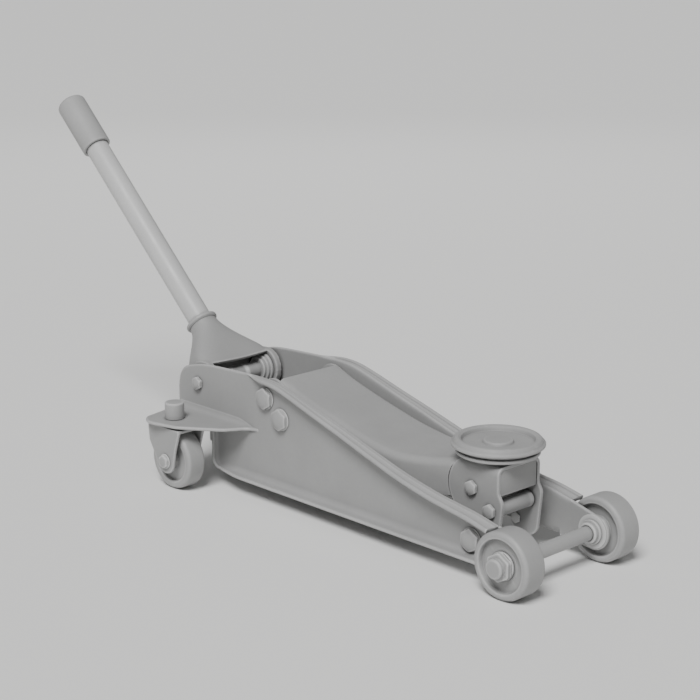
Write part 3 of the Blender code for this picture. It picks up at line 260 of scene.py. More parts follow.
def make_material(name, grey, roughness, grain=900.0, grain_depth=0.00004, edge_highlight=0.10, mottling=0.05):
    """A matt grey coat: faint mottling, fine grain, painted highlights on the edges and painted shade in the
    creases.
    """
    material = bpy.data.materials.new("look_" + name)
    material.use_nodes = True
    tree = material.node_tree
    shader = tree.nodes["Principled BSDF"]
    coordinates = tree.nodes.new("ShaderNodeTexCoord").outputs["Object"]
    geometry = tree.nodes.new("ShaderNodeNewGeometry")
    clouds = link_noise(tree, coordinates, 14.0, 4.0)
    cloud = map_range(tree, clouds, NOISE_SPAN, (1 - mottling, 1 + mottling))
    speckle = map_range(tree, link_noise(tree, coordinates, 260.0, 3.0, 0.65), NOISE_SPAN, (0.98, 1.02))
    # Painted highlight: convex edges are made paler by pointiness and by inward occlusion, standing in for
    # light caught on rounded edges.
    pointy_highlight = map_range(tree, geometry.outputs["Pointiness"], (0.51, 0.58), (1.0, 1.0 + edge_highlight))
    depth = occlusion(tree, EDGE_HIGHLIGHT_REACH, True)
    edge = multiply(tree, pointy_highlight, map_range(tree, depth, (0.5, 0.95), (1.0 + 7 * edge_highlight, 1.0)))
    # Painted shade: creases and the gaps between touching parts are darkened by outward occlusion.
    painted_crease_shade = map_range(tree, occlusion(tree, CREASE_SHADE_REACH, False), (0.35, 0.9), (0.30, 1.0))
    value = multiply(tree, multiply(tree, cloud, speckle), multiply(tree, edge, painted_crease_shade))
    tint = tree.nodes.new("ShaderNodeVectorMath")
    tint.operation = "SCALE"
    tint.inputs[0].default_value = (grey, grey, grey * 0.995)
    tree.links.new(value, tint.inputs["Scale"])
    tree.links.new(tint.outputs["Vector"], shader.inputs["Base Color"])
    patches = map_range(tree, link_noise(tree, coordinates, 45.0, 5.0), NOISE_SPAN,
                        (roughness - 0.06, roughness + 0.06))
    tree.links.new(patches, shader.inputs["Roughness"])
    bump = tree.nodes.new("ShaderNodeBump")
    set_inputs(bump, Strength=0.35, Distance=grain_depth)
    tree.links.new(link_noise(tree, coordinates, grain, 3.0), bump.inputs["Height"])
    tree.links.new(bump.outputs["Normal"], shader.inputs["Normal"])
    set_inputs(shader, Specular_IOR_Level=0.4)
    return material


MATERIALS = {
    PAINT: make_material(PAINT, 0.32, 0.50),
    ARM_PAINT: make_material(ARM_PAINT, 0.33, 0.50, edge_highlight=0.02),
    STEEL: make_material(STEEL, 0.34, 0.42, 1400.0, 0.00002, 0.14, 0.03),
    CAST: make_material(CAST, 0.32, 0.54, 620.0, 0.00007),
    WHEEL_GREY: make_material(WHEEL_GREY, 0.34, 0.50),
    RUBBER: make_material(RUBBER, 0.36, 0.60, 1100.0, 0.00006, 0.06),
}


# ---- mesh helpers

def show(name, data):
    """A new object in the scene."""
    obj = bpy.data.objects.new(name, data)
    bpy.context.scene.collection.objects.link(obj)
    return obj


def object_from(name, bm, smooth_angle=38.0):
    """Finish a bmesh as a shown object with smooth shading and sharp edges by angle."""
    bmesh.ops.recalc_face_normals(bm, faces=bm.faces)
    mesh = bpy.data.meshes.new(name)
    bm.to_mesh(mesh)
    bm.free()
    obj = show(name, mesh)
    shade(obj, smooth_angle)
    return obj


def shade(obj, smooth_angle=38.0):
    """Smooth shading, with edges past the angle kept sharp."""
    obj.data.shade_smooth()
    obj.data.set_sharp_from_angle(angle=math.radians(smooth_angle))


def bake(obj, smooth_angle=38.0):
    """Replace the object's mesh by what its modifiers make of it."""
    bpy.context.view_layer.update()
    evaluated = obj.evaluated_get(bpy.context.evaluated_depsgraph_get())
    mesh = bpy.data.meshes.new_from_object(evaluated)
    obj.modifiers.clear()
    obj.data = mesh
    shade(obj, smooth_angle)
    return obj


def turn_to(direction):
    """The rotation that takes +Z to a direction."""
    return Vector((0.0, 0.0, 1.0)).rotation_difference(Vector(direction))


def polar(radius, angle, height):
    """A point in metres about the Z axis, from a radius and a height in millimetres."""
    return Vector((radius * MM * math.cos(angle), radius * MM * math.sin(angle), height * MM))


def skin(bm, rows, closed):
    """Faces between rows of vertices; closed rows also join their last vertex to their first."""
    reach = len(rows[0]) if closed else len(rows[0]) - 1
    for row, following in zip(rows, rows[1:]):
        for i in range(reach):
            k = (i + 1) % len(row)
            bm.faces.new((row[i], row[k], following[k], following[i]))


def set_up(name, bm, origin, direction, smooth_angle=38.0):
    """Finish a bmesh made on the Z axis, with that axis turned to a direction and moved to origin."""
    matrix = turn_to(direction).to_matrix().to_4x4()
    matrix.translation = origin
    bmesh.ops.transform(bm, matrix=matrix, verts=bm.verts)
    return object_from(name, bm, smooth_angle)


def fillet(points, radius, closed, steps=4):
    """Round a line's corners; a third number in a point is that corner's own radius."""
    rounded = []
    count = len(points)
    for i, point in enumerate(points):
        corner = Vector(point[:2])
        size = point[2] if len(point) > 2 else radius
        to_before = Vector(points[i - 1][:2]) - corner
        to_after = Vector(points[(i + 1) % count][:2]) - corner
        at_end = not closed and i in (0, count - 1)
        if at_end or size <= 0 or to_before.length < 0.01 or to_after.length < 0.01:
            rounded.append(tuple(corner))
            continue
        angle = to_before.angle(to_after)
        if angle > math.radians(172):
            rounded.append(tuple(corner))
            continue
        reach = min(size / math.tan(angle / 2), 0.48 * to_before.length, 0.48 * to_after.length)
        start = corner + to_before.normalized() * reach
        end = corner + to_after.normalized() * reach
        middle = (to_before.normalized() + to_after.normalized()).normalized()
        centre = corner + middle * (reach / math.cos(angle / 2))
        sweep = math.pi - angle
        turn = math.copysign(sweep, (start - centre).cross(end - centre))
        for k in range(steps + 1):
            part = turn * k / steps
            arm = start - centre
            rounded.append((centre.x + arm.x * math.cos(part) - arm.y * math.sin(part),
                            centre.y + arm.x * math.sin(part) + arm.y * math.cos(part)))
    return rounded


def turned(name, profile, origin, direction, steps=96, rounding=0.5):
    """Turn a profile of (radius, height) pairs about an axis through origin, in metres."""
    ring = profile[0][0] > 0
    line = fillet(profile, rounding, ring)
    bm = bmesh.new()
    rows = []
    for radius, height in line:
        if radius < 1e-4:
            rows.append([bm.verts.new((0.0, 0.0, height * MM))])
            continue
        rows.append([bm.verts.new(polar(radius, 2 * math.pi * k / steps, height)) for k in range(steps)])
    if ring:
        rows.append(rows[0])
    for row, following in zip(rows, rows[1:]):
        for k in range(steps):
            m = (k + 1) % steps
            corners = [row[k % len(row)], row[m % len(row)], following[m % len(following)],
                       following[k % len(following)]]
            unique = list(dict.fromkeys(corners))
            if len(unique) > 2:
                bm.faces.new(unique)
    return set_up(name, bm, origin, direction)


def slab(name, outline, low, high, plane, rounding=1.0, segments=3):
    """A flat outline given thickness along Y (plane XZ) or Z (plane XY), its edges rounded."""
    bm = bmesh.new()
    if plane == "XZ":
        bottom = [bm.verts.new(at(a, low, b)) for a, b in outline]
        offset = Vector((0.0, (high - low) * MM, 0.0))
    else:
        bottom = [bm.verts.new(at(a, b, low)) for a, b in outline]
        offset = Vector((0.0, 0.0, (high - low) * MM))
    face = bm.faces.new(bottom)
    extruded = bmesh.ops.extrude_face_region(bm, geom=[face])
    moved = [item for item in extruded["geom"] if isinstance(item, bmesh.types.BMVert)]
    bmesh.ops.translate(bm, verts=moved, vec=offset)
    obj = object_from(name, bm)
    if rounding > 0:
        round_edges(obj, rounding, segments)
    return obj


def plate_pair(name, outline, inner, outer, rounding, middle=0.0):
    """The same flat plate on both sides of a middle plane."""
    plates = []
    for side in (-1, 1):
        low, high = sorted((middle + side * inner, middle + side * outer))
        plates.append(slab(name, outline, low, high, "XZ", rounding))
    return plates


def round_edges(obj, width, segments=3, angle=30.0):
    """Round an object's sharp edges."""
    bevel = obj.modifiers.new("round", "BEVEL")
    bevel.width = width * MM
    bevel.segments = segments
    bevel.limit_method = "ANGLE"
    bevel.angle_limit = math.radians(angle)
    bevel.use_clamp_overlap = True
    bake(obj)


def block(name, x_range, y_range, z_range, rounding=1.5):
    """A box between limits in millimetres, its edges rounded."""
    rear, front = x_range
    low, high = z_range
    outline = [(rear, low), (front, low), (front, high), (rear, high)]
    return slab(name, outline, *y_range, "XZ", rounding)


def cross_rod(name, radius, station, y_range, rounding=0.5, steps=64):
    """A rod along Y at an (x, z) station."""
    low, high = sorted(y_range)
    profile = [(0.0, high), (radius, high), (radius, low), (0.0, low)]
    return turned(name, profile, on_axis(station), (0, 1, 0), steps, rounding)


def boolean(obj, tool, operation):
    """Apply one Boolean and remove its tool."""
    modifier = obj.modifiers.new("boolean", "BOOLEAN")
    modifier.operation = operation
    modifier.solver = "EXACT"
    modifier.object = tool
    bake(obj)
    bpy.data.objects.remove(tool, do_unlink=True)


def join(name, parts):
    """Put several meshes in one object."""
    bm = bmesh.new()
    for part in parts:
        part.data.transform(part.matrix_world)
        bm.from_mesh(part.data)
        bpy.data.objects.remove(part, do_unlink=True)
    return object_from(name, bm)


def fuse(obj, voxel):
    """Remesh an object into one skin."""
    remesh = obj.modifiers.new("fuse", "REMESH")
    remesh.mode = "VOXEL"
    remesh.voxel_size = voxel * MM


def cast(name, parts, voxel, passes, *cutters):
    """Fuse parts into one casting with soft edges: remesh their union, cut it and smooth it."""
    obj = join(name, parts)
    fuse(obj, voxel)
    bake(obj)
    for cutter in cutters:
        boolean(obj, cutter, "DIFFERENCE")
    if cutters:
        fuse(obj, voxel)
    soften = obj.modifiers.new("soften", "SMOOTH")
    soften.factor = 0.5
    soften.iterations = passes
    return bake(obj, 80.0)


def dress(piece, body, slot, *nodes):
    """Give a piece its material, the body it rides on and the CAD nodes it stands for."""
    piece.data.materials.clear()
    piece.data.materials.append(MATERIALS[slot])
    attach(piece, body)
    if nodes:
        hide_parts(*nodes)


def arc(centre, radius, start, end, count):
    """Points along an arc, angles in degrees."""
    points = []
    for i in range(count + 1):
        angle = math.radians(start + (end - start) * i / count)
        points.append((centre[0] + radius * math.cos(angle), centre[1] + radius * math.sin(angle)))
    return points


def spline(stations, steps):
    """A Catmull-Rom line through stations of any number of values."""
    result = []
    last = len(stations) - 1
    for i in range(last):
        before = stations[max(i - 1, 0)]
        after = stations[min(i + 2, last)]
        for k in range(steps):
            t = k / steps
            result.append(tuple(
                0.5 * (2 * b + (c - a) * t + (2 * a - 5 * b + 4 * c - d) * t * t
                       + (3 * b - a - 3 * c + d) * t * t * t)
                for a, b, c, d in zip(before, stations[i], stations[i + 1], after)))
    result.append(tuple(stations[last]))
    return result


def capsule(start, end, radius_start, radius_end, count=20):
    """The outline of a bar with two round ends."""
    direction = math.degrees(math.atan2(end[1] - start[1], end[0] - start[0]))
    lean = math.degrees(math.asin((radius_start - radius_end) / math.dist(start, end)))
    back = arc(start, radius_start, direction + 90 - lean, direction + 270 + lean, count)
    front = arc(end, radius_end, direction - 90 + lean, direction + 90 - lean, count)
    return back + front


def loft(name, rows, closed_rows=True, capped=True):
    """Skin rows of points; rows may be closed loops, with the first and last row capped."""
    bm = bmesh.new()
    grid = [[bm.verts.new(point) for point in row] for row in rows]
    skin(bm, grid, closed_rows)
    if capped:
        bm.faces.new(grid[0])
        bm.faces.new(grid[-1][::-1])
    return object_from(name, bm)


def hexagon(name, radius, height, dome, station, side, face):
    """A hexagon head whose top is domed, standing out from y = side * face."""
    steps = 96
    corner = math.pi / 6
    flat = radius * math.cos(corner)
    wall = [(1.0, 0.0), (1.0, 0.245)]
    domed = [(fraction, None) for fraction in (1.0, 0.97, 0.9, 0.75, 0.55, 0.3)]
    bm = bmesh.new()
    rows = []
    for fraction, lift in wall + domed:
        row = []
        for k in range(steps):
            angle = 2 * math.pi * k / steps
            local = (angle + corner) % (2 * corner) - corner
            reach = min(flat / math.cos(local), radius * HEXAGON_CHAMFER) * fraction
            level = height - dome * (reach / radius) ** 2.4 if lift is None else height * lift
            row.append(bm.verts.new(polar(reach, angle, level)))
        rows.append(row)
    skin(bm, rows, True)
    bm.faces.new(rows[0][::-1])
    top = bm.verts.new((0.0, 0.0, height * MM))
    for k in range(steps):
        bm.faces.new((rows[-1][k], rows[-1][(k + 1) % steps], top))
    return set_up(name, bm, on_axis(station, side * face), (0, side, 0), 30.0)


def washer(name, outer, inner, thickness, station, side, face):
    """A flat washer lying on y = side * face."""
    profile = [(inner, thickness), (outer, thickness), (outer, 0.0), (inner, 0.0)]
    return turned(name, profile, on_axis(station, side * face), (0, side, 0), 72, 0.4)


# ---- side plates

def flange_profile(width, soft):
    """The rim of a pressed plate: web, bend, flange and lip, as (inset, outward) pairs.

    At soft 0 the bend is crisp and the edge is a rolled bead; at soft 1 the bend is wide, the edge round.
    """
    convex = 3.0 + 5.0 * soft
    concave = 0.8 + (min(6.0, width - 6.5) - 0.8) * soft
    recess = 1.4 * (1 - soft)
    lip = 2.9 - 0.9 * soft
    lip_inset = 2.0
    first = math.radians(-78.0 * (1 - soft))
    last = math.radians(226.0 - 46.0 * soft)
    line = [(WEB_INSET, 0.0), (0.4 * WEB_INSET + 0.6 * convex, 0.0)]
    for i in range(1, 7):
        angle = i * math.pi / 12
        line.append((convex - convex * math.sin(angle), convex - convex * math.cos(angle)))
    flat_start = convex + 1.2 * recess
    flat_end = max(width - lip + lip * math.sin(first) - 0.2, flat_start + 0.03)
    line += [(recess, flat_start + (flat_end - flat_start) * k / 2) for k in (0, 1, 2)]
    for k in range(15):
        angle = first + (last - first) * k / 14
        line.append((lip_inset - lip * math.cos(angle), width - lip + lip * math.sin(angle)))
    fillet_start = SHEET + concave
    under_end = max(width - lip + lip * math.sin(last), fillet_start + 0.03)
    line += [(SHEET, fillet_start + (under_end - fillet_start) * k / 3) for k in (2, 1, 0)]
    for i in range(1, 6):
        angle = i * math.pi / 10
        line.append((fillet_start - concave * math.cos(angle), fillet_start - concave * math.sin(angle)))
    line += [(WEB_INSET, SHEET)]
    return line


def plain_profile(count):
    """The rim where there is no flange: a sheet edge with small radii, with as many points."""
    edge = fillet([(2.6, 0.0), (0.0, 0.0), (0.0, SHEET), (2.6, SHEET)], 1.3, False, 5)
    lengths = [0.0]
    for a, b in zip(edge, edge[1:]):
        lengths.append(lengths[-1] + math.dist(a, b))
    line = []
    for k in range(count):
        target = lengths[-1] * k / (count - 1)
        i = max(j for j in range(len(lengths) - 1) if lengths[j] <= target + 1e-9)
        part = (target - lengths[i]) / (lengths[i + 1] - lengths[i])
        line.append(tuple(a + (b - a) * part for a, b in zip(edge[i], edge[i + 1])))
    return line


def ease(value):
    """A smooth step from 0 to 1."""
    value = min(1.0, max(0.0, value))
    return value * value * (3 - 2 * value)


def divide(start, end, spacing):
    """Points from start up to, but not including, end."""
    count = max(1, round(math.dist(start, end) / spacing))
    return [tuple(a + (b - a) * k / count for a, b in zip(start, end)) for k in range(count)]


def plate_rim():
    """The plate's outline as (x, z, flange share, flange width, softness of the flange)."""
    rim = []
    rear_corner = arc((REAR_EDGE + 13.0, PLATE_BOTTOM + 13.0), 13.0, 180, 270, 12)
    for x, z in divide((REAR_EDGE, SHELF_BOTTOM + 0.4), rear_corner[0], 6.0) + rear_corner:
        rim.append((x, z, 1.0, FLANGE_HEEL - WEB_INNER, 1.0))
    bottom_end = (FLANGE_END - 14.0, PLATE_BOTTOM)
    for x, z in divide(rear_corner[-1], bottom_end, 12.0)[1:] + [bottom_end]:
        share = ease((x - REAR_EDGE) / 60.0)
        rim.append((x, z, 1.0, FLANGE_HEEL + (FLANGE_BOTTOM - FLANGE_HEEL) * share - WEB_INNER, 1.0))
    nose = arc((0.0, AXLE_Z), NOSE_RADIUS, -104, 50, 26)
    under_nose = divide((FLANGE_END - 13.0, PLATE_BOTTOM - 0.1), nose[0], 4.0)
    rim += [(x, z, 0.0, FLANGE_BOTTOM - WEB_INNER, 1.0) for x, z in under_nose]
    rim += [(x, z, 0.0, FLANGE_FRONT - WEB_INNER, 0.0) for x, z in nose]
    top_start = (FLANGE_END + 0.6, TOP_EDGE[0][1] - 0.1)
    over_nose = divide(nose[-1], top_start, 4.0)[1:] + [top_start]
    rim += [(x, z, 0.0, FLANGE_FRONT - WEB_INNER, 0.0) for x, z in over_nose]
    for x, z in spline(TOP_EDGE, 5):
        share = ease((x - FLANGE_FADE[0]) / (FLANGE_FADE[1] - FLANGE_FADE[0]))
        forward = (x - FLANGE_FADE[0]) / (FLANGE_END - FLANGE_FADE[0])
        rim.append((x, z, share, FLANGE_REAR + (FLANGE_FRONT - FLANGE_REAR) * forward - WEB_INNER, 0.0))
    under_shelf = SHELF_BOTTOM + 1.0
    shelf_line = divide((PLATE_REAR + 6.0, under_shelf), (REAR_EDGE - 2.0, under_shelf), 12.0)
    rim += [(x, z, 0.0, SHELF_EDGE, 0.0) for x, z in [(PLATE_REAR, under_shelf)] + shelf_line]
    return rim


def inward_normals(rim):
    """At each rim point, the direction into the plate, lengthened at corners."""
    normals = []
    count = len(rim)
    for i in range(count):
        point = Vector(rim[i][:2])
        back = (point - Vector(rim[i - 1][:2])).normalized()
        ahead = (Vector(rim[(i + 1) % count][:2]) - point).normalized()
        left_back = Vector((-back.y, back.x))
        left_ahead = Vector((-ahead.y, ahead.x))
        middle = (left_back + left_ahead).normalized()
        normals.append(middle / max(0.7, middle.dot(left_ahead)))
    return normals


def side_plate(label, side):
    """A pressed side plate swept from its rim, with the caster shelf welded to it."""
    rim = plate_rim()
    normals = inward_normals(rim)
    plain = plain_profile(len(flange_profile(20.0, 0.0)))
    bm = bmesh.new()
    rows = []
    for (x, z, share, width, soft), normal in zip(rim, normals):
        row = []
        for (inset_flange, out_flange), (inset_plain, out_plain) in zip(flange_profile(width, soft), plain):
            inset = inset_plain + (inset_flange - inset_plain) * share
            out = out_plain + (out_flange - out_plain) * share
            row.append(bm.verts.new(at(x + normal.x * inset, side * (WEB_INNER + out), z + normal.y * inset)))
        rows.append(row)
    skin(bm, rows + rows[:1], False)
    bm.faces.new([row[0] for row in rows])
    bm.faces.new([row[-1] for row in rows][::-1])
    plate = object_from("plate_" + label, bm, 50.0)
    shelf = caster_shelf(label, side)
    boss_radius = NOSE_RADIUS - 1.8
    boss_profile = [(0.0, 0.7), (boss_radius, 0.7), (boss_radius, -1.0), (0.0, -1.0)]
    boss = turned("nose_boss_" + label, boss_profile, on_axis(AXLE, side * WEB_INNER), (0, -side, 0), 96, 0.4)
    dress(plate, "chassis", PAINT, "side_plate_" + label)
    dress(shelf, "chassis", PAINT)
    dress(boss, "chassis", PAINT)


def cove(name, side, x_range, level, upwards, radius, fade):
    """A hollow fillet between the web and the shelf, running out to nothing at its front end."""
    sink = 3.2
    count = 40
    rows = []
    for k in range(count + 1):
        x = x_range[0] + (x_range[1] - x_range[0]) * k / count
        size = max(0.4, radius * ease((x_range[1] - x) / fade))
        profile = [(-sink, -sink), (-sink, size)]
        for j in range(9):
            angle = j * math.pi / 16
            profile.append((size - size * math.cos(angle), size - size * math.sin(angle)))
        profile.append((size, -sink))
        rows.append([at(x, side * (WEB_OUTER + out), level + upwards * up) for out, up in profile])
    return loft(name, rows)


def caster_shelf(label, side):
    """The shelf over the caster, with coves where it meets the web."""
    outline = [(PLATE_REAR + 2.0, WEB_INNER + 1.0, 0.0), (PLATE_REAR + 4.0, 76.0, 8.0), (-541.0, 95.0, 8.0)]
    outline += [(x, y, 4.0) for x, y in arc((-515.0, 108.0), 23.8, 150, 70, 10)]
    outline += [(-478.0, 123.0, 12.0), (-450.0, 103.0, 8.0), (-432.0, 89.0, 8.0), (-424.0, 77.0, 8.0)]
    outline += [(-420.0, 69.0, 6.0), (-414.0, 63.4, 6.0), (-402.0, 60.0, 0.0), (-402.0, WEB_INNER + 1.0, 0.0)]
    points = [(x, side * y) for x, y in fillet(outline, 0.0, True, 5)]
    shelf = slab("shelf_" + label, points, SHELF_BOTTOM, SHELF_TOP, "XY", 1.5, 4)
    upper = cove("shelf_cove_" + label, side, (PLATE_REAR + 3.0, -404.0), SHELF_TOP, 1, 7.0, 36.0)
    lower = cove("shelf_under_" + label, side, (REAR_EDGE + 2.0, -404.0), SHELF_BOTTOM, -1, 5.0, 30.0)
    return cast("caster_shelf_" + label, [shelf, upper, lower], 0.8, 5)


# ---- front axle and wheels

def front_axle():
    """The axle, its collars, washers and cap nuts."""
    nut_face = WHEEL_OUTER - WHEEL_RECESS_DEPTH + 3.6
    shaft_end = nut_face + 6.0
    dress(cross_rod("axle_shaft", AXLE_RADIUS, AXLE, (-shaft_end, shaft_end)), "chassis", STEEL, "front_axle")
    for label, side in SIDES:
        axis = (0, side, 0)
        ring = washer("axle_ring_" + label, 15.0, WHEEL_BORE, 2.6, AXLE, side, nut_face - 3.3)
        dress(ring, "chassis", STEEL, "axle_washer_" + label)
        steps = [(WHEEL_BORE, 8.0), (13.5, 8.0), (13.5, 5.0), (11.4, 4.6), (11.4, 1.0), (10.0, 0.0),
                 (WHEEL_BORE, 0.0)]
        collar = turned("axle_step_" + label, steps, on_axis(AXLE, side * (WEB_INNER - 8.9)), axis, 80)
        dress(collar, "chassis", STEEL, "axle_collar_" + label)
        nut = hexagon("axle_hex_" + label, 15.8, 6.8, 1.6, AXLE, side, nut_face)
        stub_profile = [(0.0, 12.4), (9.4, 12.4), (10.6, 11.2), (10.6, 5.0), (0.0, 5.0)]
        stub = turned("axle_stub_" + label, stub_profile, on_axis(AXLE, side * nut_face), axis, 80, 0.8)
        dress(join("axle_nut_" + label, [nut, stub]), "chassis", STEEL, "axle_cap_nut_" + label)


def front_wheel(label, side):
    """A thick wheel: rounded rim, recessed faces, raised hub."""
    outer_floor = WHEEL_OUTER - WHEEL_RECESS_DEPTH
    inner_floor = WHEEL_INNER + WHEEL_RECESS_DEPTH
    hub_face = WEB_OUTER + 0.6
    rim_centre = AXLE_Z - RIM_ROUND
    rim = arc((rim_centre, WHEEL_OUTER - RIM_ROUND), RIM_ROUND, 90, 0, 8)
    rim += arc((rim_centre, WHEEL_INNER + RIM_ROUND), RIM_ROUND, 0, -90, 8)
    profile = [(WHEEL_BORE, outer_floor), (17.5, outer_floor), (18.5, outer_floor - 0.5),
               (WHEEL_RECESS - 0.6, outer_floor - 0.5, 1.2), (WHEEL_RECESS + 0.3, WHEEL_OUTER, 0.9)]
    profile += [(radius, height, 0.0) for radius, height in rim]
    profile += [(WHEEL_RECESS + 0.3, WHEEL_INNER, 0.9), (WHEEL_RECESS - 0.6, inner_floor, 1.2),
                (15.0, inner_floor, 1.0), (14.6, hub_face, 0.6), (WHEEL_BORE, hub_face)]
    wheel = turned("roller_wheel_" + label, profile, on_axis(AXLE), (0, side, 0), 144, 0.4)
    dress(wheel, "front_wheel_" + label, WHEEL_GREY, "front_wheel_" + label)


# ---- bolts

def bolt_pair(name, station, head, height, shank, face, body, *nodes):
    """A domed bolt through the jack, with a nut on the left and washers under large heads."""
    shaft = cross_rod(name + "_shaft", shank, station, (-face + 1.0, face - 1.0))
    large = head > 10.0
    lift = 1.1 if large else GAP
    for (label, side), node in zip(SIDES, nodes):
        parts = [hexagon("top", head, height - lift, height * 0.45, station, side, face + lift)]
        if large:
            parts.append(washer("under_head", head, shank - 1.0, 1.1, station, side, face + 0.05))
        if side < 0:
            parts.append(shaft)
        dress(join("%s_%s" % (name, label), parts), body, STEEL, node)


def brace_bolts():
    """Short bolts low at the front of each plate, over a washer; their ends stay inside the plate."""
    bore = PIN_RADIUS + GAP
    for label, side in SIDES:
        ring = washer("brace_ring_" + label, BRACE_WASHER, bore, 1.2, BRACE_BOLT, side, WEB_OUTER + 0.05)
        dress(ring, "chassis", STEEL, "brace_washer_" + label)
        top = hexagon("brace_top_" + label, LARGE_HEAD, 6.5, 3.2, BRACE_BOLT, side, WEB_OUTER + 1.5)
        reach = (side * (WEB_INNER + 0.5), side * (WEB_OUTER + 2.0))
        shank = cross_rod("brace_shank_" + label, PIN_RADIUS, BRACE_BOLT, reach)
        dress(join("brace_head_" + label, [top, shank]), "chassis", STEEL, "brace_bolt_" + label)


def cross_bolts():
    """The bolts of the chassis and of the saddle head."""
    small_chassis = (SMALL_HEAD, 6.6, PIN_RADIUS, WEB_OUTER, "chassis")
    small_head = (SMALL_HEAD, 6.2, PIN_RADIUS, HEAD_HALF, "saddle_head")
    bolt_pair("arm_bolt", ARM_PIVOT, LARGE_HEAD, 8.6, ARM_PIN_RADIUS, WEB_OUTER, "chassis",
              "arm_pivot_bolt", "arm_pivot_nut")
    bolt_pair("link_bolt", LINK_REAR, LARGE_HEAD, 8.6, PIN_RADIUS, WEB_OUTER, "chassis",
              "link_pivot_bolt", "link_pivot_nut")
    bolt_pair("yoke_bolt", HANDLE_PIVOT, *small_chassis, "handle_pivot_bolt", "handle_pivot_nut")
    bolt_pair("head_bolt", HEAD_PIVOT, *small_head, "head_pin_bolt", "head_pin_nut")
    bolt_pair("level_bolt", LINK_FRONT, *small_head, "link_pin_bolt", "link_pin_nut")


# ---- lift arm

def arm_section(x, top, half, bottom):
    """One inverted-U section of the pressed arm."""
    corner_y = half - ARM_CORNER
    corner_z = top - ARM_CORNER
    left = [(half, bottom + (corner_z - bottom) * k / 4) for k in range(4)]
    for k in range(9):
        angle = k * math.pi / 16
        left.append((corner_y + ARM_CORNER * math.cos(angle), corner_z + ARM_CORNER * math.sin(angle)))
    left += [(corner_y * (1 - k / 3), top) for k in (1, 2)]
    right = [(-y, z) for y, z in left]
    return [at(x, y, z) for y, z in right + [(0.0, top)] + left[::-1]]


def arm_cover():
    """The pressed arm with its round ears."""
    rows = [arm_section(*station) for station in spline(ARM_SECTIONS, 7)]
    cover = loft("arm_cover", rows, False, False)
    if sum(face.normal.z for face in cover.data.polygons) < 0:
        cover.data.flip_normals()
    sheet = cover.modifiers.new("sheet", "SOLIDIFY")
    sheet.solidify_mode = "NON_MANIFOLD"
    sheet.nonmanifold_thickness_mode = "CONSTRAINTS"
    sheet.thickness = SHEET * MM
    sheet.offset = -1.0
    bake(cover)
    round_edges(cover, 1.1, 3, 45.0)
    nose = cross_rod("arm_nose", HEAD_REAR_RADIUS + 0.2, HEAD_PIVOT, (-60.0, 60.0), 0.0, 160)
    boolean(cover, nose, "DIFFERENCE")
    ear = arc(ARM_PIVOT, ARM_EAR, 70, 290, 40) + [(-372.0, 112.0), (-366.0, 115.5), (-366.0, 138.0)]
    arm = join("arm_cover_pressed", [cover] + plate_pair("arm_ear", ear, 44.1, 47.8, 0.9))
    dress(arm, "lift_arm", ARM_PAINT, "lift_arm")


def arm_lug():
    """The tube on the arm's pivot, the lug plates and the pin that the ram pushes."""
    parts = [cross_rod("lug_tube", 14.0, ARM_PIVOT, (-TUBE_HALF, TUBE_HALF), 0.8)]
    parts += plate_pair("lug_plate", capsule(ARM_PIVOT, LUG_PIN, 9.0, 6.5), 12.0, 18.0, 0.8)
    parts += [cross_rod("lug_eye", 10.0, LUG_PIN, (side * 11.5, side * 18.5), 0.6) for side in (-1, 1)]
    parts.append(cross_rod("lug_pin", 5.0, LUG_PIN, (-36.0, 36.0), 0.8))
    dress(join("ram_lug", parts), "lift_arm", CAST, "arm_lug")
    tongue = slab("nose_tongue", capsule((-172.0, 86.5), HEAD_PIVOT, 9.5, 18.0, 28), -17.0, 17.0, "XZ", 1.6)
    dress(tongue, "lift_arm", CAST, "arm_tongue")


def levelling_link():
    """The H-shaped link: two bars, a cross tube in front and an eye on each bar behind."""
    parts = [cross_rod("link_tube", 9.0, LINK_FRONT, (-27.2, 27.2), 0.8)]
    parts += plate_pair("link_bar", capsule(LINK_REAR, LINK_FRONT, 6.5, 6.5), 20.0, 26.0, 1.2)
    parts += [cross_rod("link_eye", 11.0, LINK_REAR, (side * 19.5, side * 26.5), 0.8) for side in (-1, 1)]
    dress(join("link_frame", parts), "levelling_link", CAST, "levelling_link")


# ---- saddle head and saddle

def cheek_outline():
    """A cheek of the saddle head: round behind its pivot, with a lobe that hangs low in front."""
    start = 180.0 - math.degrees(math.asin((HEAD_SHOULDER - HEAD_PIVOT[1]) / HEAD_REAR_RADIUS))
    rear = arc(HEAD_PIVOT, HEAD_REAR_RADIUS + 0.5, start, 264, 40)
    lobe = arc((-72.0, 40.0), 20.0, 200, 335, 20)
    front = [(HEAD_FRONT + 6.0, 75.0, 12.0), (HEAD_FRONT, 84.0, 10.0), (HEAD_FRONT, HEAD_SHOULDER, 0.0)]
    return fillet([(x, z, 0.0) for x, z in rear + lobe] + front, 0.0, True, 5)


def head_cover():
    """The top of the head, bent down over both cheeks."""
    corner = (HEAD_HALF - ARM_CORNER, HEAD_SHOULDER)
    low = HEAD_SHOULDER - ARM_CORNER
    outer = [(HEAD_HALF, low)] + arc(corner, ARM_CORNER, 0, 90, 10)
    inner = [(HEAD_HALF - HEAD_WALL, low)] + arc(corner, ARM_CORNER - HEAD_WALL, 0, 90, 10)
    loop = outer + [(-y, z) for y, z in outer[::-1]] + [(-y, z) for y, z in inner] + inner[::-1]
    cover = loft("head_cover", [[at(x, y, z) for y, z in loop] for x in (-127.0, HEAD_FRONT)])
    boolean(cover, head_limit(0.5), "INTERSECT")
    return cover


def head_limit(spare):
    """A solid whose rear is the round of radius HEAD_REAR_RADIUS that the arm's nose turns about."""
    outline = arc(HEAD_PIVOT, HEAD_REAR_RADIUS + spare, 100, 266, 80)
    outline += [(-98.0, 10.0), (-40.0, 10.0), (-40.0, 130.0), (-97.0, 130.0)]
    return slab("head_limit", outline, -60.0, 60.0, "XZ", 0.0)


